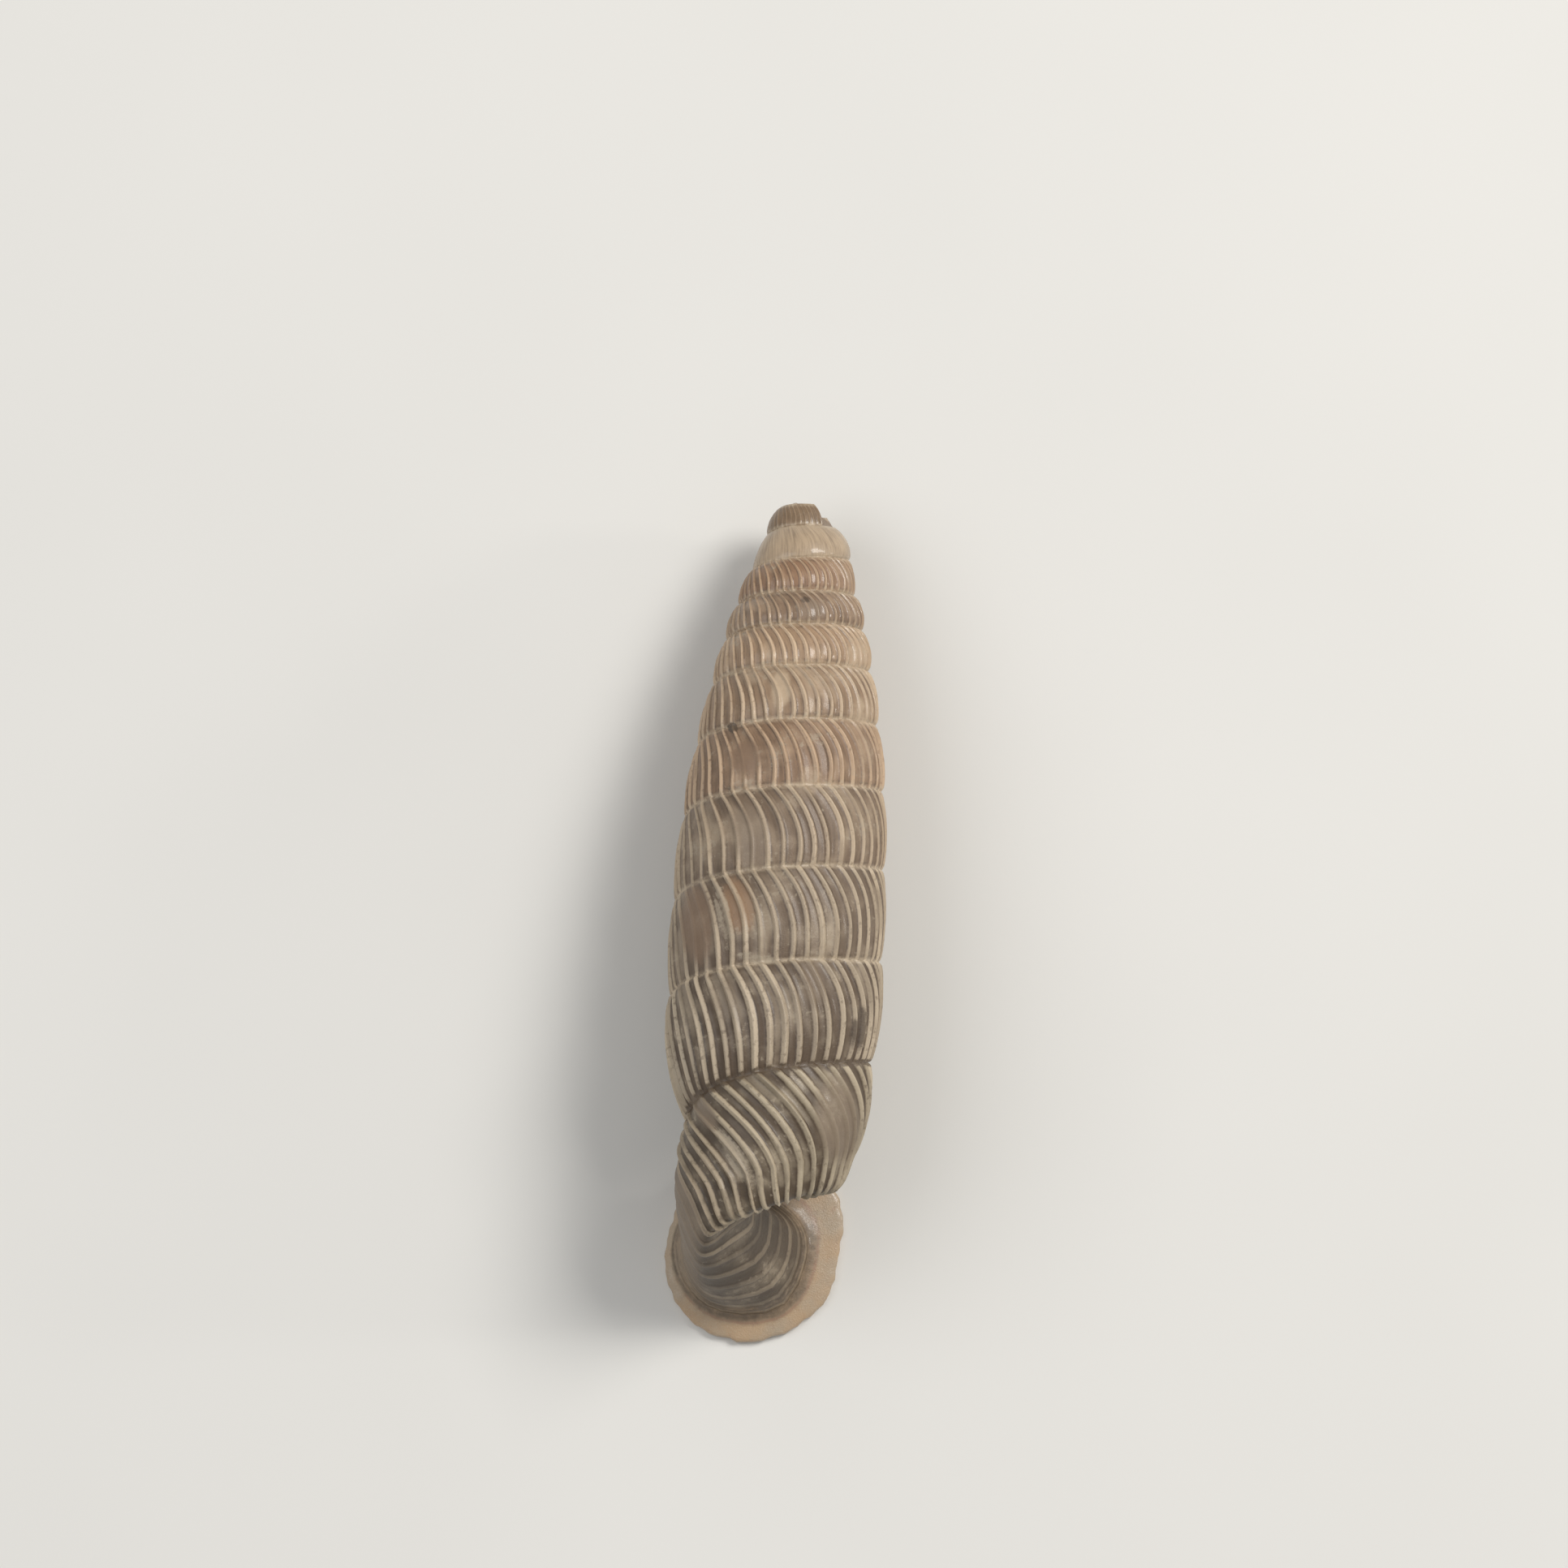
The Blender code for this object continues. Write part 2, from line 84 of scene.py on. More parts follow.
@dataclass(frozen=True)
class Track:
    """Smooth curve through stations. Each station is a place and the values there."""

    stations: Stations

    def at(self, place: np.ndarray) -> np.ndarray:
        """Reads the values at each place.

        Args:
            place: Places along the track, of any shape.

        Returns:
            The values, with one more axis than place.
        """
        table = np.array(self.stations, dtype=float)
        knots = table[:, 0]
        values = table[:, 1:]
        slopes = np.gradient(values, knots, axis=0)
        inside = np.clip(np.asarray(place, dtype=float), knots[0], knots[-1])
        left = np.clip(np.searchsorted(knots, inside, side="right") - 1, 0, len(knots) - 2)
        width = knots[left + 1] - knots[left]
        share = ((inside - knots[left]) / width)[..., None]
        width = width[..., None]
        square = share * share
        cube = square * share
        result = (2 * cube - 3 * square + 1) * values[left]
        result += (cube - 2 * square + share) * width * slopes[left]
        result += (3 * square - 2 * cube) * values[left + 1]
        result += (cube - square) * width * slopes[left + 1]
        return result

    def one(self, place: np.ndarray) -> np.ndarray:
        """Reads the first value at each place."""
        return self.at(place)[..., 0]

    def out_and_down(self, place: np.ndarray) -> np.ndarray:
        """Reads distance from the axis, then distance below the tip."""
        return self.at(place)[..., ::-1]


def eased(value: np.ndarray, low: float, high: float) -> np.ndarray:
    """Rises smoothly from 0 at low to 1 at high."""
    share = np.clip((value - low) / (high - low), 0.0, 1.0)
    return share * share * (3 - 2 * share)


def thinned(rib: np.ndarray) -> np.ndarray:
    """Rib number with the ribs spaced wider on the last part of the coil."""
    past = np.maximum(rib - THIN_START, 0.0)
    near = np.minimum(past, THIN_SPAN)
    return rib - THIN_SHARE * (near * near / (2 * THIN_SPAN) + past - near)


def turned(radius: np.ndarray, below: np.ndarray, turn: np.ndarray) -> np.ndarray:
    """Places a profile point at its angle about the axis, with the tip towards +Y.

    Args:
        radius: Distance from the axis.
        below: Distance below the tip.
        turn: Turn number, which gives the angle.

    Returns:
        Points in millimetres.
    """
    angle = FULL_TURN * (turn - TURN_ON_THE_RIGHT)
    return np.stack([radius * np.cos(angle), -below, radius * np.sin(angle)], axis=-1)


@dataclass(frozen=True)
class Lean:
    """Tilt of the whole coil, so that its tip dips and its mouth end stands clear."""

    degrees: float = 6.5

    def apply(self, points: np.ndarray) -> np.ndarray:
        """Tilts points about the X axis.

        Args:
            points: Points about the coil's own axis.

        Returns:
            The tilted points.
        """
        cosine = math.cos(math.radians(self.degrees))
        sine = math.sin(math.radians(self.degrees))
        along = points[..., 1] * cosine + points[..., 2] * sine
        up = points[..., 2] * cosine - points[..., 1] * sine
        return np.stack([points[..., 0], along, up], axis=-1)


class Mark(Enum):
    """Named values that the mesh carries for its finish."""

    SEAM = "seam_distance"
    RELIEF = "rib_relief"
    LIP = "lip_share"
    INSIDE = "inside_share"
    CHALK = "chalk"
    BARE = "bare_brown"
    AMBER = "amber"
    # Dark stains, and painted shade in the navel pit and below the keel
    GRIME_AND_SHADE = "grime_and_shade"
    # Pale patches, and painted light on the right sides of some upper whorls
    PALE_AND_LIT = "pale_and_lit_zone"
    DULL = "dull_grey"


# Shares by which patches of each kind hide the painted ribs, and by which they flatten the ribs
PAINT_FADE = {Mark.BARE: 0.8, Mark.CHALK: 0.45, Mark.PALE_AND_LIT: 0.7, Mark.DULL: 0.6}
RELIEF_FADE = {Mark.BARE: 0.8, Mark.CHALK: 0.4, Mark.DULL: 0.5}


@dataclass(frozen=True)
class Spot:
    """Worn, bare or stained place on the upper side, or a place of painted light, in millimetres
    seen from above.
    """

    mark: Mark
    across: float
    down: float
    half_width: float
    half_length: float
    slant: float = 0.0
    strength: float = 1.0

    def share(self, across: np.ndarray, down: np.ndarray) -> np.ndarray:
        """How much of the spot lies at each place.

        Args:
            across: Distance to the right of the axis.
            down: Distance below the tip.

        Returns:
            A value from 0 outside to the spot's strength inside.
        """
        cosine = math.cos(math.radians(self.slant))
        sine = math.sin(math.radians(self.slant))
        right = across - self.across
        lower = down - self.down
        width = (right * cosine + lower * sine) / self.half_width
        length = (lower * cosine - right * sine) / self.half_length
        return self.strength * (1.0 - eased(np.hypot(width, length), 0.45, 1.25))


SPOTS = (
    Spot(Mark.BARE, -1.02, 6.12, 0.42, 0.52, 10),
    Spot(Mark.GRIME_AND_SHADE, -1.39, 5.41, 0.16, 0.16, 0, 0.9),
    Spot(Mark.PALE_AND_LIT, -0.30, 4.42, 0.30, 0.62, 0, 0.9),
    Spot(Mark.PALE_AND_LIT, 0.55, 6.55, 0.42, 0.50, -10, 0.6),
    # Painted light: the paler right sides of these whorls, where the key lamp falls.
    Spot(Mark.PALE_AND_LIT, 1.50, 3.45, 0.42, 0.45, 0, 0.6),
    Spot(Mark.PALE_AND_LIT, 1.65, 4.85, 0.42, 0.55, 0, 0.6),
    Spot(Mark.PALE_AND_LIT, 1.80, 5.80, 0.40, 0.60, 0, 0.5),
    Spot(Mark.GRIME_AND_SHADE, 0.14, 2.22, 0.17, 0.11, 0, 0.7),
    Spot(Mark.DULL, 0.30, 2.45, 0.42, 0.34, 0, 0.6),
    Spot(Mark.BARE, -1.90, 10.15, 0.46, 1.15, -6, 1.0),
    Spot(Mark.AMBER, -0.95, 9.62, 0.48, 0.85, -18),
    Spot(Mark.CHALK, -1.30, 9.85, 0.20, 0.95, -16, 0.8),
    Spot(Mark.CHALK, -0.45, 10.85, 0.70, 0.15, 4, 0.8),
    Spot(Mark.DULL, -0.80, 7.95, 0.48, 0.95, -14, 0.8),
    Spot(Mark.DULL, 1.75, 14.55, 0.62, 1.25, -8, 0.9),
    Spot(Mark.DULL, -1.42, 14.60, 0.26, 0.55, -38, 0.9),
    Spot(Mark.DULL, 0.95, 11.35, 0.35, 0.75, -12, 0.7),
    Spot(Mark.CHALK, -0.59, 15.62, 0.24, 1.05, -36, 0.9),
    Spot(Mark.CHALK, 0.72, 13.70, 0.16, 0.40, -36, 0.7),
    Spot(Mark.GRIME_AND_SHADE, 2.10, 12.35, 0.22, 0.75, 8, 0.75),
)


@dataclass
class Coil:
    """Coiled wall of the shell and the underside of its last turn."""

    ribs_per_turn: int = 42
    steps_per_rib: int = 8
    slip_ribs: int = 2
    rib_count: int = 436
    first_turn: float = -0.3
    sutures: Track = Track(
        (
            (-0.5, -0.04, 0.50), (0.0, 0.06, 0.64), (0.5, 0.42, 0.68), (1.0, 0.72, 0.85),
            (1.5, 1.20, 1.09), (2.0, 1.66, 1.16), (3.0, 2.49, 1.37), (4.0, 3.37, 1.59),
            (5.0, 4.50, 1.84), (6.0, 5.96, 2.12), (7.0, 7.71, 2.32), (8.0, 9.79, 2.42),
            (8.5, 10.95, 2.46), (9.0, 12.12, 2.34), (9.5, 13.39, 2.36), (9.75, 14.11, 2.21),
            (10.0, 15.05, 1.72), (10.2, 15.80, 1.56),
        )
    )
    bulge: Track = Track(
        (
            (-0.2, 0.06), (0.5, 0.20), (1.0, 0.10), (2.0, 0.14), (8.3, 0.17), (8.6, 0.19),
            (9.0, 0.33), (9.3, 0.24), (9.5, 0.18), (10.2, 0.16),
        )
    )
    fullness: float = 0.55
    shoulder: Track = Track(
        (
            (9.08, 15.35, 1.765), (9.3, 15.52, 2.06), (9.5, 15.62, 2.17), (9.75, 16.52, 2.08),
            (10.0, 17.40, 1.90),
        )
    )
    keel: Track = Track(
        (
            (9.08, 15.80, 1.40), (9.3, 16.02, 1.60), (9.5, 16.44, 1.82), (9.62, 16.84, 1.77),
            (9.75, 17.40, 1.71), (9.85, 17.80, 1.56), (10.0, 18.42, 1.20),
        )
    )
    base_middle: Track = Track(
        ((9.08, 16.10, 0.90), (9.5, 16.56, 1.00), (9.75, 17.08, 0.97), (10.0, 17.75, 0.74))
    )
    base_inner: Track = Track(
        ((9.08, 16.30, 0.36), (9.5, 16.66, 0.40), (9.75, 16.94, 0.42), (10.0, 17.20, 0.42))
    )
    pit_radius: float = 0.24
    pit_height: float = 16.42
    rib_height: Track = Track(
        (
            (-0.3, 0.012), (0.4, 0.004), (1.1, 0.006), (1.7, 0.036), (2.6, 0.048), (5.0, 0.062),
            (8.4, 0.080), (9.2, 0.105), (10.2, 0.110),
        )
    )
    rib_curve: float = 1.7
    closed_curve: float = 2.6
    shoulder_share: float = 0.72
    rib_at_suture: float = 0.45
    smooth_from: float = 4.6
    smooth_span: float = 1.5
    lag_at_keel: Track = Track(
        (
            (9.12, 0.40), (9.4, 0.55), (9.66, 0.75), (9.83, 0.92), (9.95, 1.12), (10.1, 1.30),
        )
    )
    wall_places: tuple[float, ...] = (
        0.0, 0.015, 0.04, 0.08, 0.14, 0.20, 0.27, 0.34, 0.41, 0.48, 0.55, 0.62, 0.69, 0.76, 0.83,
        0.89, 0.94, 0.975,
    )
    base_places: tuple[float, ...] = (
        1.25, 1.5, 1.7, 1.85, 2.0, 2.15, 2.35, 2.6, 2.9, 3.2, 3.6, 4.0, 4.3, 4.55, 4.8, 5.0,
    )
    seed: int = 11

    def __post_init__(self) -> None:
        """Works out the turns where the last whorl starts to come free and where it ends."""
        self.shared_ribs = self.ribs_per_turn - self.slip_ribs
        self.free_rib = self.rib_count - self.shared_ribs
        self.free_turn = self.first_turn + self.free_rib / self.ribs_per_turn
        self.end_turn = self.first_turn + self.rib_count / self.ribs_per_turn
        self.loose_turn = self.end_turn - 1.0
        self.regular_lag = FULL_TURN * self.slip_ribs / self.ribs_per_turn
        chance = np.random.default_rng(self.seed)
        self.wander = chance.normal(0.0, 0.075, self.rib_count + 8)
        self.weave = chance.uniform(0.0, FULL_TURN, self.rib_count + 8)
        self.strength = np.clip(chance.normal(1.0, 0.16, self.rib_count + 8), 0.6, 1.35)

    def wall(self, turn: np.ndarray, share: np.ndarray) -> np.ndarray:
        """Outer wall between the upper suture and the lower suture or shoulder.

        Args:
            turn: Turn number of each point.
            share: Place between the upper edge, 0, and the lower edge, 1.

        Returns:
            Distance from the axis and distance below the tip.
        """
        upper = self.sutures.out_and_down(turn)
        leaving = np.clip(1.0 - (turn - self.loose_turn) / 0.3, 0.0, 1.0)[..., None]
        end = self.sutures.out_and_down(np.full_like(turn, self.end_turn))
        step = end - self.shoulder.out_and_down(np.full_like(turn, self.loose_turn))
        free_edge = self.shoulder.out_and_down(turn) + step * leaving
        shared = self.sutures.out_and_down(turn + 1.0)
        lower = np.where((turn < self.loose_turn)[..., None], shared, free_edge)
        point = upper + (lower - upper) * share[..., None]
        rounded = np.sin(math.pi * share) ** self.fullness
        open_end = np.where(share > 0.5, 1.0 - (2.0 * share - 1.0) ** 2, rounded)
        free = eased(turn, self.loose_turn, self.loose_turn + 0.25)
        point[..., 0] += self.bulge.one(turn) * (rounded * (1 - free) + open_end * free)
        return point

    def base(self, turn: np.ndarray, place: np.ndarray) -> np.ndarray:
        """Underside of the last turn, from the shoulder, 0, over the keel to the navel, 4.

        Args:
            turn: Turn number of each point.
            place: Place across the underside.

        Returns:
            Distance from the axis and distance below the tip.
        """
        place = np.clip(place, 0.0, 4.0)
        above = self.wall(
            np.maximum(turn, self.loose_turn), np.full_like(turn, self.shoulder_share)
        )
        navel = np.zeros(turn.shape + (2,))
        navel[..., 0] = self.pit_radius
        navel[..., 1] = self.pit_height
        tracks = (self.shoulder, self.keel, self.base_middle, self.base_inner)
        controls = [above] + [track.out_and_down(turn) for track in tracks] + [navel, navel]
        stack = np.stack(controls, axis=0)
        left = np.minimum(np.floor(place).astype(int), 3)
        share = (place - left)[..., None]
        picks = []
        for step in range(4):
            picks.append(np.take_along_axis(stack, (left + step)[None, ..., None], axis=0)[0])
        before, start, end, after = picks
        result = 2 * start + (end - before) * share
        result += (2 * before - 5 * start + 4 * end - after) * share**2
        result += (3 * start - before - 3 * end + after) * share**3
        return 0.5 * result

    def profile(self, turn: np.ndarray, place: np.ndarray) -> np.ndarray:
        """Point of the turning profile. Places 0 to 1 are the wall, and 1 to 5 the base."""
        wall = self.wall(turn, np.clip(place, 0.0, 1.0))
        return np.where((place <= 1.0)[..., None], wall, self.base(turn, place - 1.0))

    def lag(self, start_turn: np.ndarray, place: np.ndarray) -> np.ndarray:
        """Angle by which a rib falls behind its start on the upper suture.

        Args:
            start_turn: Turn at which the rib leaves the upper suture.
            place: Place across the profile.

        Returns:
            Angle in radians.
        """
        at_keel = self.lag_at_keel.one(start_turn)
        loose = np.clip((start_turn - self.free_turn) / 0.2, 0.0, 1.0)
        share = np.clip(place, 0.0, 1.0)
        low_share = 1.0 - (1.0 - self.shoulder_share) ** self.rib_curve
        at_shoulder = self.regular_lag + (low_share * at_keel - self.regular_lag) * loose
        regular_wall = self.regular_lag * (1.0 - (1.0 - share) ** self.closed_curve)
        loose_wall = at_keel * (1.0 - (1.0 - self.shoulder_share * share) ** self.rib_curve)
        wall = regular_wall * (1.0 - loose) + loose_wall * loose
        span = self.end_turn - self.free_turn
        progress = np.clip((start_turn - self.free_turn) / span, 0.0, 1.0)
        knots = (
            at_shoulder,
            at_keel,
            at_keel + 0.30 - 0.05 * progress,
            at_keel + 0.65 - 0.40 * progress,
            1.2 - self.regular_lag * progress,
        )
        past = place - 1.0
        base = knots[0] + 0.0 * past
        for step in range(4):
            base = base + (knots[step + 1] - knots[step]) * np.clip(past - step, 0.0, 1.0)
        return np.where(place <= 1.0, wall, base)

    def between_ribs(self, table: np.ndarray, rib: np.ndarray) -> np.ndarray:
        """Reads a value that each rib has of its own, blended from one rib to the next."""
        whole = np.floor(rib).astype(int)
        share = eased(rib - whole, 0.0, 1.0)
        return table[whole] * (1 - share) + table[whole + 1] * share

    def crest(self, rib: np.ndarray) -> np.ndarray:
        """Height of a narrow rounded rib, 1 on its crest and 0 in the furrow."""
        aside = np.abs(rib - np.floor(rib + 0.5))
        width = 0.12 + 0.05 * eased(rib, 300.0, 400.0)
        return np.exp(-((aside / width) ** 2))

    def spaced(self, step: np.ndarray) -> np.ndarray:
        """Rib number of each step along the coil. The steps crowd towards the crests."""
        even = step / self.steps_per_rib
        return even - 0.08 * np.sin(FULL_TURN * even)

    def skin(self, rib: np.ndarray, place: np.ndarray, lean: Lean) -> tuple[np.ndarray, dict]:
        """Points of the outer skin, and the marks that they carry.

        Args:
            rib: Rib number of each point.
            place: Place of each point across the profile.
            lean: Tilt of the coil.

        Returns:
            Points in millimetres, and a value for each point and mark.
        """
        start_turn = self.first_turn + rib / self.ribs_per_turn
        free = eased(start_turn, self.loose_turn + 0.05, self.loose_turn + 0.35)
        closed_window = np.sqrt(np.sin(math.pi * np.clip(place, 0.0, 1.0)))
        open_window = np.sqrt(np.sin(math.pi * np.clip(place / 5.0, 0.0, 1.0)))
        window = closed_window * (1 - free) + open_window * free
        drift = self.between_ribs(self.wander, rib)
        drift += 0.05 * np.sin(5.0 * place + self.between_ribs(self.weave, rib))
        turn = start_turn - self.lag(start_turn, place) / FULL_TURN
        turn = turn + drift * window / self.ribs_per_turn
        point = self.profile(turn, place)
        before = self.profile(turn, np.maximum(place - 0.02, 0.0))
        tangent = self.profile(turn, place + 0.02) - before
        length = np.maximum(np.linalg.norm(tangent, axis=-1), 1e-9)[..., None]
        outward = np.stack([tangent[..., 1], -tangent[..., 0]], axis=-1) / length
        on_suture = (place < 0.01) | ((np.abs(place - 1.0) < 0.01) & (turn < self.loose_turn))
        outward[on_suture] = (1.0, 0.0)
        height = self.sutures.at(turn + 1.0)[..., 0] - self.sutures.at(turn)[..., 0]
        low_edge = np.where(turn < self.loose_turn, np.abs(1.0 - place) * height, FAR_FROM_SUTURE)
        seam = np.minimum(place * height, low_edge)
        plain = lean.apply(turned(point[..., 0], point[..., 1], turn))
        marks = {Mark.SEAM: np.clip(seam, 0.0, FAR_FROM_SUTURE)}
        marks.update(seen_spots(plain))
        relief = eased(start_turn, 1.35, 1.75) + 0.45 * eased(-start_turn, -0.75, -0.35)
        off_navel = np.clip((self.smooth_from - place) / self.smooth_span, 0.0, 1.0)
        relief = relief * off_navel
        for mark, share in PAINT_FADE.items():
            relief = relief * (1.0 - share * marks[mark])
        marks[Mark.RELIEF] = relief
        worn = self.rib_at_suture + (1 - self.rib_at_suture) * eased(seam, 0.0, 0.12)
        size = self.rib_height.one(turn) * self.between_ribs(self.strength, thinned(rib) + 0.5)
        size = size * worn * off_navel
        for mark, share in RELIEF_FADE.items():
            size = size * (1.0 - share * marks[mark])
        lift = size * (self.crest(thinned(rib)) - CREST_MEAN)
        lift = lift + 0.006 * np.sin(2.3 * turn * FULL_TURN + 4.0 * place)
        lift = lift + 0.005 * np.sin(6.1 * turn * FULL_TURN - 3.0 * place)
        radius = point[..., 0] + outward[..., 0] * lift
        below = point[..., 1] + outward[..., 1] * lift
        return lean.apply(turned(radius, below, turn)), marks


def seen_spots(points: np.ndarray) -> dict:
    """Share of each kind of spot at each point of the upper side.

    Args:
        points: Points of the leaning coil, in millimetres.

    Returns:
        A value for each point and kind of spot.
    """
    view_lean = math.radians(CAMERA_LEAN)
    down = -(points[..., 1] * math.cos(view_lean) + points[..., 2] * math.sin(view_lean))
    above = eased(points[..., 2] - AXIS_RISE * down, -0.2, 0.6)
    shares = {}
    for mark in (Mark.CHALK, Mark.BARE, Mark.AMBER, Mark.GRIME_AND_SHADE, Mark.PALE_AND_LIT, Mark.DULL):
        total = np.zeros(points.shape[:-1])
        for spot in SPOTS:
            if spot.mark is mark:
                total = np.maximum(total, spot.share(points[..., 0], down))
        shares[mark] = total * above
    return shares


@dataclass
class Neck:
    """Free neck from the end of the coil to the foot of the lip."""

    centre: tuple[float, float] = (-0.08, -17.80)
    foot: Track = Track(
        (
            (0, 1.36), (45, 1.66), (90, 1.88), (128, 1.84), (182, 1.62), (210, 1.62), (248, 1.38),
            (285, 1.38), (325, 1.34), (360, 1.36),
        )
    )
    angle_of_place: Track = Track(
        ((0, 0), (1, 92), (2, 135), (3.2, 215), (5, 290), (9, 360))
    )
    end_height: float = 0.45
    blend: float = 1.35
    start_pull: float = 2.1
    end_pull: float = 1.4
    ribs: int = 12
    steps_per_rib: int = 6
    rib_height: float = 0.035

    def __post_init__(self) -> None:
        """Sets the angles that the rings keep once the neck is laid out."""
        self.angles = np.zeros(0)

    def foot_radius(self, angles: np.ndarray) -> np.ndarray:
        """Distance of the neck's foot from the middle of the mouth."""
        return self.foot.one(np.degrees(angles) % 360.0)

    def marks(self, share: float) -> dict:
        """Marks of one ring of the neck.

        Args:
            share: Place along the neck, from the coil, 0, to the lip, 1.

        Returns:
            A value for each point and mark.
        """
        degrees = np.degrees(self.angles)
        left = eased(degrees, 20.0, 80.0) * (1.0 - eased(degrees, 110.0, 155.0))
        along = np.full(len(degrees), share)
        relief = 1.0 - 0.20 * eased(along, 0.0, 0.2) - 0.45 * eased(along, 0.4, 1.0)
        relief = relief * (1.0 - 0.65 * left * eased(along, 0.0, 0.3))
        lip = 0.5 * eased(along, 0.60, 1.0) * (1.0 - left) + 0.5 * eased(along, 0.35, 1.0) * left
        # Painted shade on the front of the neck just below the keel, fading towards the lip.
        shade = (1.0 - left) * (1.0 - eased(along, 0.35, 0.85))
        marks = {Mark.RELIEF: relief, Mark.LIP: lip}
        marks[Mark.GRIME_AND_SHADE] = 0.40 * shade
        marks[Mark.DULL] = 0.8 * left
        return marks

    def rings(self, coil: Coil, start: np.ndarray, places: np.ndarray) -> list[np.ndarray]:
        """Rings of the neck, after the first one.

        Args:
            coil: Coil that the neck grows from.
            start: Ring at the end of the coil.
            places: Place of each of its points, which keeps rising on the way back.

        Returns:
            One array of points for each ring.
        """
        origin = start.mean(axis=0)
        direction = ring_normal(start)
        direction = -direction if direction[2] > 0 else direction
        down = np.array([0.0, 0.0, -1.0])
        goal = np.array([self.centre[0], self.centre[1], self.end_height])
        arms = start - origin
        whole = rotation_between(direction, down, 1.0)
        self.angles = np.radians(self.angle_of_place.one(places))
        reach = self.foot_radius(self.angles)
        circle = np.stack(
            [-reach * np.sin(self.angles), reach * np.cos(self.angles), 0.0 * reach], axis=1
        )
        count = self.ribs * self.steps_per_rib
        made = []
        for number in range(1, count + 1):
            share = number / count
            square = share * share
            cube = square * share
            centre = (2 * cube - 3 * square + 1) * origin
            centre = centre + (cube - 2 * square + share) * direction * self.start_pull
            centre = centre + (3 * square - 2 * cube) * goal
            centre = centre + (cube - square) * down * self.end_pull
            part = rotation_between(direction, down, share)
            mixed = share**self.blend
            shape = (arms @ part.T) * (1 - mixed) + (circle @ (part @ whole.T).T) * mixed
            crest = coil.crest(thinned(np.array(coil.rib_count + number / self.steps_per_rib)))
            ridge = (float(crest) - CREST_MEAN) * self.rib_height * (1 - 0.6 * share)
            made.append(centre + shape * (1.0 + ridge / reach.mean()))
        return made


def ring_normal(points: np.ndarray) -> np.ndarray:
    """Mean direction square to a closed ring."""
    arms = points - points.mean(axis=0)
    total = np.cross(arms, np.roll(arms, -1, axis=0)).sum(axis=0)
    return total / np.linalg.norm(total)


def rotation_between(first: np.ndarray, second: np.ndarray, share: float) -> np.ndarray:
    """Matrix that turns the first direction part of the way towards the second.

    Args:
        first: Direction at the start.
        second: Direction at the end.
        share: Part of the way, from 0 to 1.

    Returns:
        A rotation matrix.
    """
    axis = np.cross(first, second)
    sine = np.linalg.norm(axis)
    angle = math.atan2(sine, float(np.dot(first, second))) * share
    axis = axis / sine
    skew = np.array([[0, -axis[2], axis[1]], [axis[2], 0, -axis[0]], [-axis[1], axis[0], 0]])
    return np.eye(3) + math.sin(angle) * skew + (1 - math.cos(angle)) * (skew @ skew)


@dataclass
class Lip:
    """Flared lip round the mouth."""

    outline: Track = Track(
        (
            (0, 2.13), (40, 2.18), (78, 2.03), (99, 2.10), (116, 2.18), (140, 2.26), (178, 2.26),
            (217, 2.16), (236, 2.17), (275, 2.12), (289, 2.28), (308, 2.45), (335, 2.30),
            (360, 2.13),
        )
    )
    section: Track = Track(
        (
            (0.0, 0.12, 0.39), (1.0, 0.42, 0.31), (2.0, 0.75, 0.26), (3.0, 0.96, 0.21),
            (4.0, 1.00, 0.11), (5.0, 0.95, 0.00), (6.0, 0.60, 0.00), (7.0, 0.15, 0.06),
            (8.0, -0.15, 0.26),
        )
    )
    rings: int = 28
    rib_step: float = 0.05
    nicks: Stations = (
        (196.0, 2.2, 0.05), (168.0, 2.8, 0.07), (222.0, 3.0, 0.05), (300.0, 3.0, 0.04),
    )

    def ring(self, neck: Neck, angles: np.ndarray, place: float) -> np.ndarray:
        """One ring of the lip.

        Args:
            neck: Neck that the lip grows from.
            angles: Angle of each point.
            place: Place along the section, from the neck to the throat.

        Returns:
            Points in millimetres.
        """
        flare, height = self.section.at(np.array(place))
        degrees = np.degrees(angles) % 360.0
        outer = self.outline.one(degrees)
        outer = outer + 0.012 * np.sin(23 * angles) + 0.01 * np.sin(37 * angles + 1.0)
        for middle, width, depth in self.nicks:
            outer = outer - depth * np.exp(-(((degrees - middle) / width) ** 2))
        foot = neck.foot_radius(angles)
        radius = foot + (outer - foot) * flare
        x = neck.centre[0] - radius * np.sin(angles)
        y = neck.centre[1] + radius * np.cos(angles)
        return np.stack([x, y, np.full_like(x, max(height, 0.0))], axis=1)


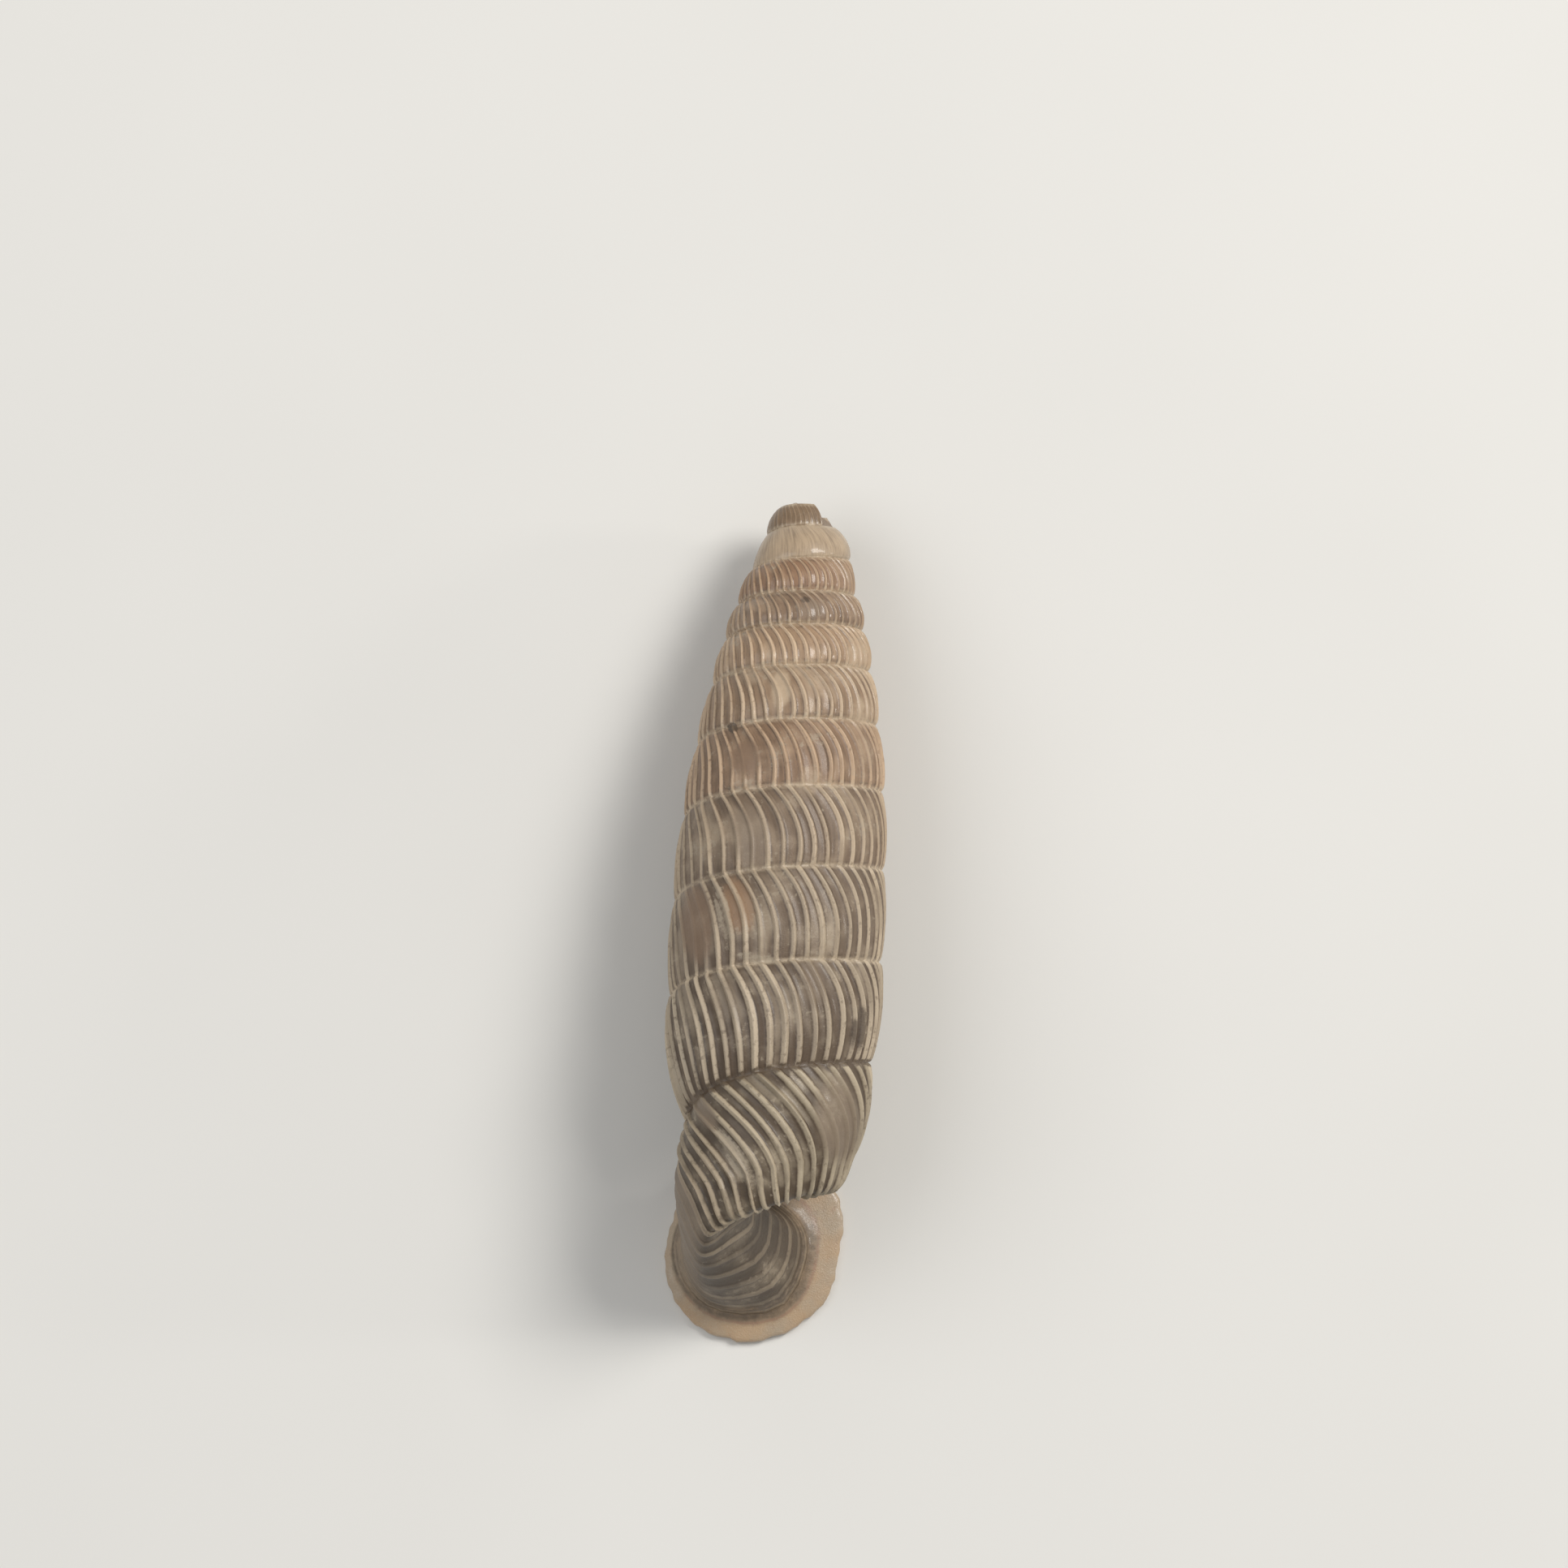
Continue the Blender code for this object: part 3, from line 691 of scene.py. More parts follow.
@dataclass
class Hollow:
    """Throat behind the mouth, and the spiral hollow that it leads to."""

    wall: float = 0.16
    points: int = 16
    rings_per_turn: int = 12
    top_turn: float = 1.0
    end_turn: float = 9.72
    throat_start: float = 0.56
    throat_end: float = 0.90
    throat_rings: int = 10
    easing_passes: int = 16
    keel_share: float = 0.35
    open_share: float = 0.97
    pillar: float = 0.14
    pillar_when_free: float = 0.32
    pillar_by_radius: float = 0.05
    corner_power: float = 2.6

    def drawn_in(self, points: np.ndarray, share: float) -> np.ndarray:
        """Eases the corners of a ring and draws it in towards its middle.

        Args:
            points: Points of the ring.
            share: Size of the new ring as a share of the old.

        Returns:
            Points of the new ring.
        """
        soft = points
        for _ in range(self.easing_passes):
            soft = 0.5 * soft + 0.25 * (np.roll(soft, 1, axis=0) + np.roll(soft, -1, axis=0))
        centre = soft.mean(axis=0)
        return centre + (soft - centre) * share

    def ring(self, coil: Coil, start_turn: float) -> np.ndarray:
        """One closed ring of the hollow, inside the wall of the turn that it belongs to.

        Args:
            coil: Coil that the hollow runs in.
            start_turn: Turn number of the ring.

        Returns:
            Points in millimetres about the coil's own axis.
        """
        step = FULL_TURN * np.arange(self.points) / self.points
        place = np.full(self.points, start_turn)
        last = np.clip((place - coil.free_turn) / 0.2, 0.0, 1.0)
        lag = coil.lag_at_keel.one(place) * last
        turn = place - lag * (0.5 - 0.5 * np.cos(step)) / FULL_TURN
        upper = coil.sutures.out_and_down(turn)
        free = np.clip((turn - coil.loose_turn + 0.1) / 0.3, 0.0, 1.0)
        lower = coil.sutures.out_and_down(np.minimum(turn + 1.0, coil.end_turn))
        keel = coil.keel.out_and_down(turn)
        middle = coil.base_middle.out_and_down(turn)
        under = self.keel_share * keel[..., 1] + (1 - self.keel_share) * middle[..., 1]
        bottom = lower[..., 1] * (1 - free) + under * free
        outer = np.minimum(upper[..., 0], lower[..., 0]) * (1 - free)
        outer = outer + self.open_share * upper[..., 0] * free
        room = bottom - upper[..., 1]
        wall = np.minimum(self.wall, 0.2 * room)
        inner = self.pillar + self.pillar_when_free * free + self.pillar_by_radius * upper[..., 0]
        outer = outer - wall
        across = np.sin(step)
        along = -np.cos(step)
        power = self.corner_power
        rounded = np.abs(across) ** power + np.abs(along) ** power
        corner = 1.0 / np.maximum(rounded, 1e-9) ** (1 / power)
        corner = 1.0 + (corner - 1.0) * (1 - free)
        radius = 0.5 * (outer + inner) + 0.5 * (outer - inner) * across * corner
        below = 0.5 * (bottom + upper[..., 1]) + (0.5 * room - wall) * along * corner
        return turned(radius, below, turn)


class Skin:
    """Points, faces, growth coordinates and marks of the shell while it is being built."""

    def __init__(self) -> None:
        """Starts with nothing."""
        self.chunks: list[np.ndarray] = []
        self.marks: dict[Mark, list[np.ndarray]] = {mark: [] for mark in Mark}
        self.count = 0
        self.faces: list[tuple[int, ...]] = []
        self.growth: list[np.ndarray] = []
        self.ring = np.zeros(0, dtype=int)
        self.rib = 0.0

    def add(self, points: np.ndarray, marks: dict) -> np.ndarray:
        """Adds points and returns their numbers.

        Args:
            points: Points in millimetres.
            marks: Values for some of the marks. The others are 0, and the seam is far.

        Returns:
            The new points' numbers.
        """
        number = len(points)
        self.chunks.append(np.asarray(points, dtype=float))
        for mark, store in self.marks.items():
            usual = FAR_FROM_SUTURE if mark is Mark.SEAM else 0.0
            store.append(np.broadcast_to(np.asarray(marks.get(mark, usual), float), (number,)))
        self.count += number
        return np.arange(self.count - number, self.count)

    def grid(self, index: np.ndarray, rib: np.ndarray, place: np.ndarray) -> None:
        """Adds a quad between each four neighbours of a grid of point numbers.

        Args:
            index: Point numbers, one row for each step along the coil.
            rib: Rib number of each step.
            place: Place of each column across the profile.
        """
        quads = np.stack([index[:-1, :-1], index[1:, :-1], index[1:, 1:], index[:-1, 1:]], axis=-1)
        u, v = np.meshgrid(rib, place, indexing="ij")
        both = np.stack([u, v], axis=-1)
        corners = np.stack([both[:-1, :-1], both[1:, :-1], both[1:, 1:], both[:-1, 1:]], axis=2)
        self.faces.extend(map(tuple, quads.reshape(-1, 4).tolist()))
        self.growth.append(corners.reshape(-1, 2))

    def start_ring(self, ring: np.ndarray, rib: float) -> None:
        """Takes an open edge to grow from, with the rib number that it lies at."""
        self.ring = ring
        self.rib = rib

    def add_ring(self, points: np.ndarray, marks: dict, rib: float) -> None:
        """Adds a closed ring, of any count, and joins it to the open one before it.

        Args:
            points: Points in millimetres.
            marks: Values for some of the marks.
            rib: Rib number of the new ring.
        """
        first = self.ring
        second = self.add(points, marks)
        a = 0
        b = 0
        corners = []
        size_a = len(first)
        size_b = len(second)
        while a < size_a or b < size_b:
            share_a = a / size_a
            share_b = b / size_b
            here = int(first[a % size_a])
            there = int(second[b % size_b])
            if size_a == size_b:
                after = int(first[(a + 1) % size_a])
                beyond = int(second[(b + 1) % size_b])
                next_share = (a + 1) / size_a
                self.faces.append((here, after, beyond, there))
                corners += [(self.rib, share_a), (self.rib, next_share)]
                corners += [(rib, next_share), (rib, share_a)]
                a += 1
                b += 1
            elif b >= size_b or (a < size_a and (a + 0.5) / size_a <= (b + 0.5) / size_b):
                self.faces.append((here, int(first[(a + 1) % size_a]), there))
                corners += [(self.rib, share_a), (self.rib, (a + 1) / size_a), (rib, share_b)]
                a += 1
            else:
                self.faces.append((here, int(second[(b + 1) % size_b]), there))
                corners += [(self.rib, share_a), (rib, (b + 1) / size_b), (rib, share_b)]
                b += 1
        self.growth.append(np.array(corners))
        self.start_ring(second, rib)

    def close(self, middle: np.ndarray, marks: dict) -> None:
        """Closes the open ring with a fan to one middle point.

        Args:
            middle: The middle point.
            marks: Values for some of its marks.
        """
        centre = int(self.add(np.array([middle]), marks)[0])
        count = len(self.ring)
        corners = []
        for step in range(count):
            here = int(self.ring[step])
            self.faces.append((here, int(self.ring[(step + 1) % count]), centre))
            corners += [(self.rib, step / count), (self.rib, (step + 1) / count), (self.rib, 0.5)]
        self.growth.append(np.array(corners))

    def points(self) -> np.ndarray:
        """All points so far."""
        return np.concatenate(self.chunks)


INSIDE_MARKS = {Mark.INSIDE: 1.0, Mark.LIP: 1.0}


@dataclass
class Shell:
    """The whole shell: coil, broken tip, neck, lip, throat and hollow."""

    coil: Coil = field(default_factory=Coil)
    lean: Lean = field(default_factory=Lean)
    neck: Neck = field(default_factory=Neck)
    lip: Lip = field(default_factory=Lip)
    hollow: Hollow = field(default_factory=Hollow)
    tip_rings: int = 4
    tip_flatness: float = 0.75
    knob_place: tuple[float, float] = (0.50, 0.22)
    knob_radius: float = 0.14
    knob_height: float = 0.06

    def grow(self, skin: Skin) -> tuple[np.ndarray, np.ndarray]:
        """Builds the coil, the base, the navel and the tip.

        Args:
            skin: Skin to add to.

        Returns:
            Point numbers of the closed ring where the neck comes free, and their places.
        """
        coil = self.coil
        total = coil.rib_count * coil.steps_per_rib
        shared = coil.shared_ribs * coil.steps_per_rib
        free = total - shared
        wall_rows = len(coil.wall_places)
        last_row = wall_rows + len(coil.base_places)
        places = np.array(coil.wall_places + (1.0,) + coil.base_places)
        ribs = coil.spaced(np.arange(total + 1))
        index = np.full((total + 1, last_row + 1), -1)
        wanted = np.zeros(index.shape, dtype=bool)
        wanted[:, :wall_rows] = True
        wanted[free + 1 :, wall_rows] = True
        wanted[free:, wall_rows + 1 :] = True
        wanted[total, last_row] = False
        step, row = np.nonzero(wanted)
        points, marks = coil.skin(ribs[step], places[row], self.lean)
        index[step, row] = skin.add(points, marks)
        index[: free + 1, wall_rows] = index[shared : shared + free + 1, 0]
        index[total, last_row] = index[free, last_row]
        skin.grid(index[:, : wall_rows + 1], ribs, places[: wall_rows + 1])
        skin.grid(index[free:, wall_rows:], ribs[free:], places[wall_rows:])
        navel = index[free:total, last_row]
        middle = skin.points()[navel].mean(axis=0) + np.array([0.0, 0.05, 0.0])
        skin.start_ring(navel, coil.free_rib)
        # Painted shade darkens the navel pit.
        skin.close(middle, {Mark.GRIME_AND_SHADE: 1.0})
        edge = np.concatenate([index[: shared + 1, 0], index[0, wall_rows - 1 : 0 : -1]])
        self.cap_tip(skin, edge)
        ring = np.concatenate([index[total, :], index[free, last_row - 1 : wall_rows : -1]])
        way_back = 2.0 * places[last_row] - places[last_row - 1 : wall_rows : -1]
        return ring, np.concatenate([places, way_back])

    def cap_tip(self, skin: Skin, edge: np.ndarray) -> None:
        """Rough broken end over the first turn.

        Args:
            skin: Skin to add to.
            edge: Point numbers of the open edge of the first turn.
        """
        rim = skin.points()[edge]
        middle = self.lean.apply(np.array([[-0.08, -0.06, 0.02]]))[0]
        step = FULL_TURN * np.arange(len(edge)) / len(edge)
        skin.start_ring(edge, 0.0)
        for number in range(1, self.tip_rings + 1):
            share = 1.0 - number / (self.tip_rings + 1)
            wobble = 0.012 * np.sin(3 * step + 0.5) + 0.012 * np.sin(7 * step + 2.0 * number)
            wobble = wobble + 0.014 * np.sin(13 * step + 3.0 * number)
            points = middle + (rim - middle) * share
            flat = self.tip_flatness * points[:, 1] + wobble * share
            flat = flat + 0.05 * np.exp(-(((points[:, 0] + 0.25) / 0.2) ** 2))
            depth = eased(np.full(len(edge), share), 0.75, 1.0)
            points[:, 1] = points[:, 1] * depth + flat * (1 - depth)
            across, up = self.knob_place
            off_knob = np.hypot(points[:, 0] - across, points[:, 2] - up)
            knob = np.exp(-((off_knob / self.knob_radius) ** 2))
            points[:, 1] += self.knob_height * knob
            # The broken end is painted darker towards its middle, and pale on its knob.
            marks = {Mark.GRIME_AND_SHADE: 0.35 * (1.0 - share), Mark.PALE_AND_LIT: knob}
            skin.add_ring(points, marks, 0.0)
        skin.close(middle + np.array([0.0, -0.05, 0.0]), {Mark.GRIME_AND_SHADE: 0.4})

    def finish_mouth(
        self, skin: Skin, opening: np.ndarray, places: np.ndarray, lowest: float
    ) -> None:
        """Builds the neck, the lip, the throat and the hollow.

        Args:
            skin: Skin to add to, already standing on the ground.
            opening: Point numbers of the ring where the neck comes free.
            places: Place of each of those points.
            lowest: Height by which the coil was let down.
        """
        start = skin.points()[opening]
        outside = self.neck.rings(self.coil, start, places)
        count = len(outside)
        skin.start_ring(opening, self.coil.rib_count)
        for number, points in enumerate(outside, 1):
            rib = self.coil.rib_count + number / self.neck.steps_per_rib
            skin.add_ring(points, self.neck.marks(number / count), rib)
        self.add_lip(skin)
        hollow = self.hollow
        growing = hollow.throat_end - hollow.throat_start
        for pick in np.linspace(count, 1, hollow.throat_rings).round().astype(int):
            size = hollow.throat_start + growing * pick / count
            skin.add_ring(hollow.drawn_in(outside[pick - 1], size), INSIDE_MARKS, skin.rib)
        skin.add_ring(hollow.drawn_in(start, hollow.throat_start), INSIDE_MARKS, skin.rib)
        self.add_hollow(skin, lowest)

    def add_lip(self, skin: Skin) -> None:
        """Adds the rings of the lip, from the foot of the neck over the edge to the throat."""
        angles = doubled(doubled(self.neck.angles))
        end_place = self.lip.section.stations[-1][0]
        for number in range(self.lip.rings + 1):
            place = end_place * number / self.lip.rings
            inside = eased(np.array(place), 5.0, 7.5)
            rim = 0.5 + 0.5 * eased(np.array(place), 0.1, 1.6)
            marks = {Mark.LIP: rim, Mark.INSIDE: inside, Mark.RELIEF: 0.4 * (1.0 - rim)}
            points = self.lip.ring(self.neck, angles, place)
            skin.add_ring(points, marks, skin.rib + self.lip.rib_step)

    def add_hollow(self, skin: Skin, lowest: float) -> None:
        """Adds the spiral hollow and closes its far end.

        Args:
            skin: Skin to add to.
            lowest: Height by which the coil was let down.
        """
        hollow = self.hollow
        span = hollow.end_turn - hollow.top_turn
        for number in range(int(round(span * hollow.rings_per_turn)) + 1):
            turn = hollow.end_turn - number / hollow.rings_per_turn
            points = self.lean.apply(hollow.ring(self.coil, turn))
            points[:, 2] -= lowest
            skin.add_ring(points, INSIDE_MARKS, skin.rib)
        skin.close(skin.points()[skin.ring].mean(axis=0), INSIDE_MARKS)

    def build(self) -> bpy.types.Object:
        """Builds the shell's mesh and puts it where the solid stands.

        Returns:
            The finished object, at the origin and unturned.
        """
        skin = Skin()
        opening, places = self.grow(skin)
        lowest = float(skin.points()[:, 2].min())
        skin.chunks = [chunk - np.array([0.0, 0.0, lowest]) for chunk in skin.chunks]
        self.finish_mouth(skin, opening, places, lowest)
        points = skin.points() * MM
        low, high = (np.array(corner) for corner in CAD_BOX)
        own_middle = 0.5 * (points.max(axis=0) + points.min(axis=0))
        points[:, :2] += (0.5 * (low + high) - own_middle)[:2]
        points[:, 2] -= points[:, 2].min()
        data = bpy.data.meshes.new("shell_skin")
        data.from_pydata(points.tolist(), [], skin.faces)
        growth = data.uv_layers.new(name="growth")
        growth.data.foreach_set("uv", np.concatenate(skin.growth).astype(np.float32).ravel())
        for mark, stored in skin.marks.items():
            layer = data.attributes.new(mark.value, "FLOAT", "POINT")
            layer.data.foreach_set("value", np.concatenate(stored).astype(np.float32))
        piece = bpy.data.objects.new("shell_skin", data)
        bpy.context.scene.collection.objects.link(piece)
        tidy_mesh(piece)
        return piece


def doubled(angles: np.ndarray) -> np.ndarray:
    """Adds an angle halfway between each two neighbours."""
    after = np.append(angles[1:], angles[0] + FULL_TURN)
    return np.stack([angles, 0.5 * (angles + after)], axis=1).ravel()


def tidy_mesh(piece: bpy.types.Object) -> None:
    """Merges doubles, turns the faces outwards and shades the mesh smooth.

    Args:
        piece: Object to tidy.
    """
    bpy.ops.object.select_all(action="DESELECT")
    piece.select_set(True)
    bpy.context.view_layer.objects.active = piece
    bpy.ops.object.mode_set(mode="EDIT")
    bpy.ops.mesh.select_all(action="SELECT")
    bpy.ops.mesh.remove_doubles(threshold=1e-8)
    bpy.ops.mesh.normals_make_consistent(inside=False)
    bpy.ops.object.mode_set(mode="OBJECT")
    bpy.ops.object.shade_smooth()
    piece.select_set(False)


Operand = Union["Number", float]


class Number:
    """A number in the shader that Python's own operators work on."""

    def __init__(self, board: "Board", socket: bpy.types.NodeSocket) -> None:
        """Wraps a socket of the board."""
        self.board = board
        self.socket = socket

    def __add__(self, other: Operand) -> "Number":
        """Sum."""
        return self.board.math("ADD", self, other)

    def __radd__(self, other: Operand) -> "Number":
        """Sum, the other way round."""
        return self.board.math("ADD", other, self)

    def __sub__(self, other: Operand) -> "Number":
        """Difference."""
        return self.board.math("SUBTRACT", self, other)

    def __rsub__(self, other: Operand) -> "Number":
        """Difference, the other way round."""
        return self.board.math("SUBTRACT", other, self)

    def __mul__(self, other: Operand) -> "Number":
        """Product."""
        return self.board.math("MULTIPLY", self, other)

    def __rmul__(self, other: Operand) -> "Number":
        """Product, the other way round."""
        return self.board.math("MULTIPLY", other, self)

    def absolute(self) -> "Number":
        """Value without its sign."""
        return self.board.math("ABSOLUTE", self)

    def wrapped(self) -> "Number":
        """Part after the decimal point."""
        return self.board.math("FRACT", self)

    def whole(self) -> "Number":
        """Whole part."""
        return self.board.math("FLOOR", self)

    def rise(self, low: float, high: float) -> "Number":
        """Smooth step from 0 at low to 1 at high."""
        return self.board.stepped(self, (low, high), (0.0, 1.0))

    def fall(self, low: float, high: float) -> "Number":
        """Smooth step from 1 at low to 0 at high."""
        return self.board.stepped(self, (low, high), (1.0, 0.0))


@dataclass(frozen=True)
class Paint:
    """A colour, given as screen values from 0 to 255."""

    red: float
    green: float
    blue: float

    def linear(self) -> tuple[float, float, float, float]:
        """The colour as the shader takes it."""
        channels = []
        for value in (self.red, self.green, self.blue):
            share = value / 255.0
            low = share / 12.92
            high = ((share + 0.055) / 1.055) ** 2.4
            channels.append(low if share <= 0.04045 else high)
        return (channels[0], channels[1], channels[2], 1.0)


Colour = Union[Paint, bpy.types.NodeSocket]


class Board:
    """Node tree of one finish."""

    def __init__(self, name: str) -> None:
        """Makes the material and finds its shader.

        Args:
            name: Name of the material.
        """
        self.material = bpy.data.materials.new(name)
        self.material.use_nodes = True
        self.tree = self.material.node_tree
        self.shader = self.tree.nodes["Principled BSDF"]

    def node(self, kind: str, settings: dict, inputs: dict) -> bpy.types.Node:
        """Adds a node.

        Args:
            kind: Type of the node.
            settings: Properties of the node, set first.
            inputs: Values or links, by the name or number of their socket.

        Returns:
            The node.
        """
        made = self.tree.nodes.new(kind)
        for name, value in settings.items():
            setattr(made, name, value)
        for name, value in inputs.items():
            self.feed(made.inputs[name], value)
        return made

    def feed(self, socket: bpy.types.NodeSocket, value: object) -> None:
        """Links a number, paint or socket to a socket, or sets its constant."""
        if isinstance(value, Number):
            self.tree.links.new(value.socket, socket)
        elif isinstance(value, Paint):
            socket.default_value = value.linear()
        elif isinstance(value, bpy.types.NodeSocket):
            self.tree.links.new(value, socket)
        else:
            socket.default_value = value

    def math(self, operation: str, *values: Operand) -> Number:
        """Adds a Math node and returns its result."""
        inputs = dict(enumerate(values))
        made = self.node("ShaderNodeMath", {"operation": operation}, inputs)
        return Number(self, made.outputs[0])

    def stepped(self, value: Operand, source: tuple, target: tuple) -> Number:
        """Maps a range to another with a smooth step.

        Args:
            value: Number to map.
            source: Lowest and highest value of the number.
            target: Results at those two values.

        Returns:
            The mapped number.
        """
        settings = {"interpolation_type": "SMOOTHSTEP"}
        inputs = {0: value, 1: source[0], 2: source[1], 3: target[0], 4: target[1]}
        made = self.node("ShaderNodeMapRange", settings, inputs)
        return Number(self, made.outputs[0])

    def mark(self, mark: Mark) -> Number:
        """Reads a mark of the mesh."""
        made = self.node("ShaderNodeAttribute", {"attribute_name": mark.value}, {})
        return Number(self, made.outputs["Fac"])

    def growth(self) -> tuple[Number, Number]:
        """Reads the rib number and the place across the profile."""
        made = self.node("ShaderNodeUVMap", {"uv_map": "growth"}, {})
        parts = self.node("ShaderNodeSeparateXYZ", {}, {0: made.outputs["UV"]})
        return Number(self, parts.outputs[0]), Number(self, parts.outputs[1])

    def vector(self, x: Operand, y: Operand, z: Operand) -> bpy.types.NodeSocket:
        """Makes a vector of three numbers."""
        return self.node("ShaderNodeCombineXYZ", {}, {0: x, 1: y, 2: z}).outputs[0]

    def place_mm(self) -> bpy.types.NodeSocket:
        """Place on the object, in millimetres."""
        made = self.node("ShaderNodeTexCoord", {}, {})
        scaled = self.node(
            "ShaderNodeVectorMath",
            {"operation": "SCALE"},
            {0: made.outputs["Object"], "Scale": 1.0 / MM},
        )
        return scaled.outputs[0]

    def noise(self, vector: object, scale: float, detail: float, rough: float = 0.5) -> Number:
        """Cloudy noise, about 0.5.

        Args:
            vector: Where to read it.
            scale: Size of its grain, in grains per unit.
            detail: Number of finer layers.
            rough: Strength of each finer layer.

        Returns:
            The noise.
        """
        inputs = {"Vector": vector, "Scale": scale, "Detail": detail, "Roughness": rough}
        made = self.node("ShaderNodeTexNoise", {}, inputs)
        return Number(self, made.outputs["Fac"])

    def chance(self, value: Number) -> Number:
        """A fixed random number for each whole value."""
        made = self.node("ShaderNodeTexWhiteNoise", {"noise_dimensions": "1D"}, {"W": value})
        return Number(self, made.outputs["Value"])

    def mixed(self, share: Operand, first: Colour, second: Colour) -> Colour:
        """Mixes two colours.

        Args:
            share: Share of the second colour.
            first: First colour.
            second: Second colour.

        Returns:
            The mixed colour's socket.
        """
        inputs = {0: share, 6: first, 7: second}
        made = self.node("ShaderNodeMix", {"data_type": "RGBA"}, inputs)
        return made.outputs[2]

    def ramp(self, share: Number, stops: tuple[tuple[float, Paint], ...]) -> Colour:
        """Colour that changes along a ramp.

        Args:
            share: Place on the ramp, from 0 to 1.
            stops: Place and colour of each stop.

        Returns:
            The colour's socket.
        """
        made = self.node("ShaderNodeValToRGB", {}, {})
        elements = made.color_ramp.elements
        elements[0].position, elements[0].color = stops[0][0], stops[0][1].linear()
        elements[1].position, elements[1].color = stops[-1][0], stops[-1][1].linear()
        for place, paint in stops[1:-1]:
            elements.new(place).color = paint.linear()
        self.feed(made.inputs[0], share)
        return made.outputs[0]


@dataclass(frozen=True)
class Zone:
    """Colours of one part of the coil: turn, furrow and rib."""

    turn: float
    furrow: Paint
    rib: Paint


@dataclass(frozen=True)
class Patch:
    """How one kind of patch covers the shell: worn or stained, or laid as painted shade or painted
    light.

    Its edge is frayed by noise, it shows from start on and is at its strongest from full on, and
    the ribs can stay partly clear of it.
    """

    mark: Mark
    paint: Paint
    ragged: float
    start: float
    full: float
    strength: float
    clear_of_ribs: float = 0.0


@dataclass(frozen=True)
class RibLook:
    """How the ribs are painted. Widths are shares of their spacing, and places are rib numbers."""

    width: float = 0.12
    wider_by_luck: float = 0.07
    wider_when_late: float = 0.05
    narrower_on_neck: float = 0.05
    wavering: float = 0.10
    soft_edge: tuple[float, float] = (-0.06, 0.05)
    shadow_aside: float = 0.07
    shadow_width: float = 0.09
    least_strength: float = 0.62
    worn_in_patches: float = 0.55
    worn_by_grain: float = 0.55
    faded_on_neck: float = 0.10
    faded_by_luck: float = 0.50
    late: tuple[float, float] = (300.0, 395.0)
    last_suture: tuple[float, float] = (393.0, 399.0)
    glossy_until: tuple[float, float] = (120.0, 280.0)
    neck_span: float = 2.5


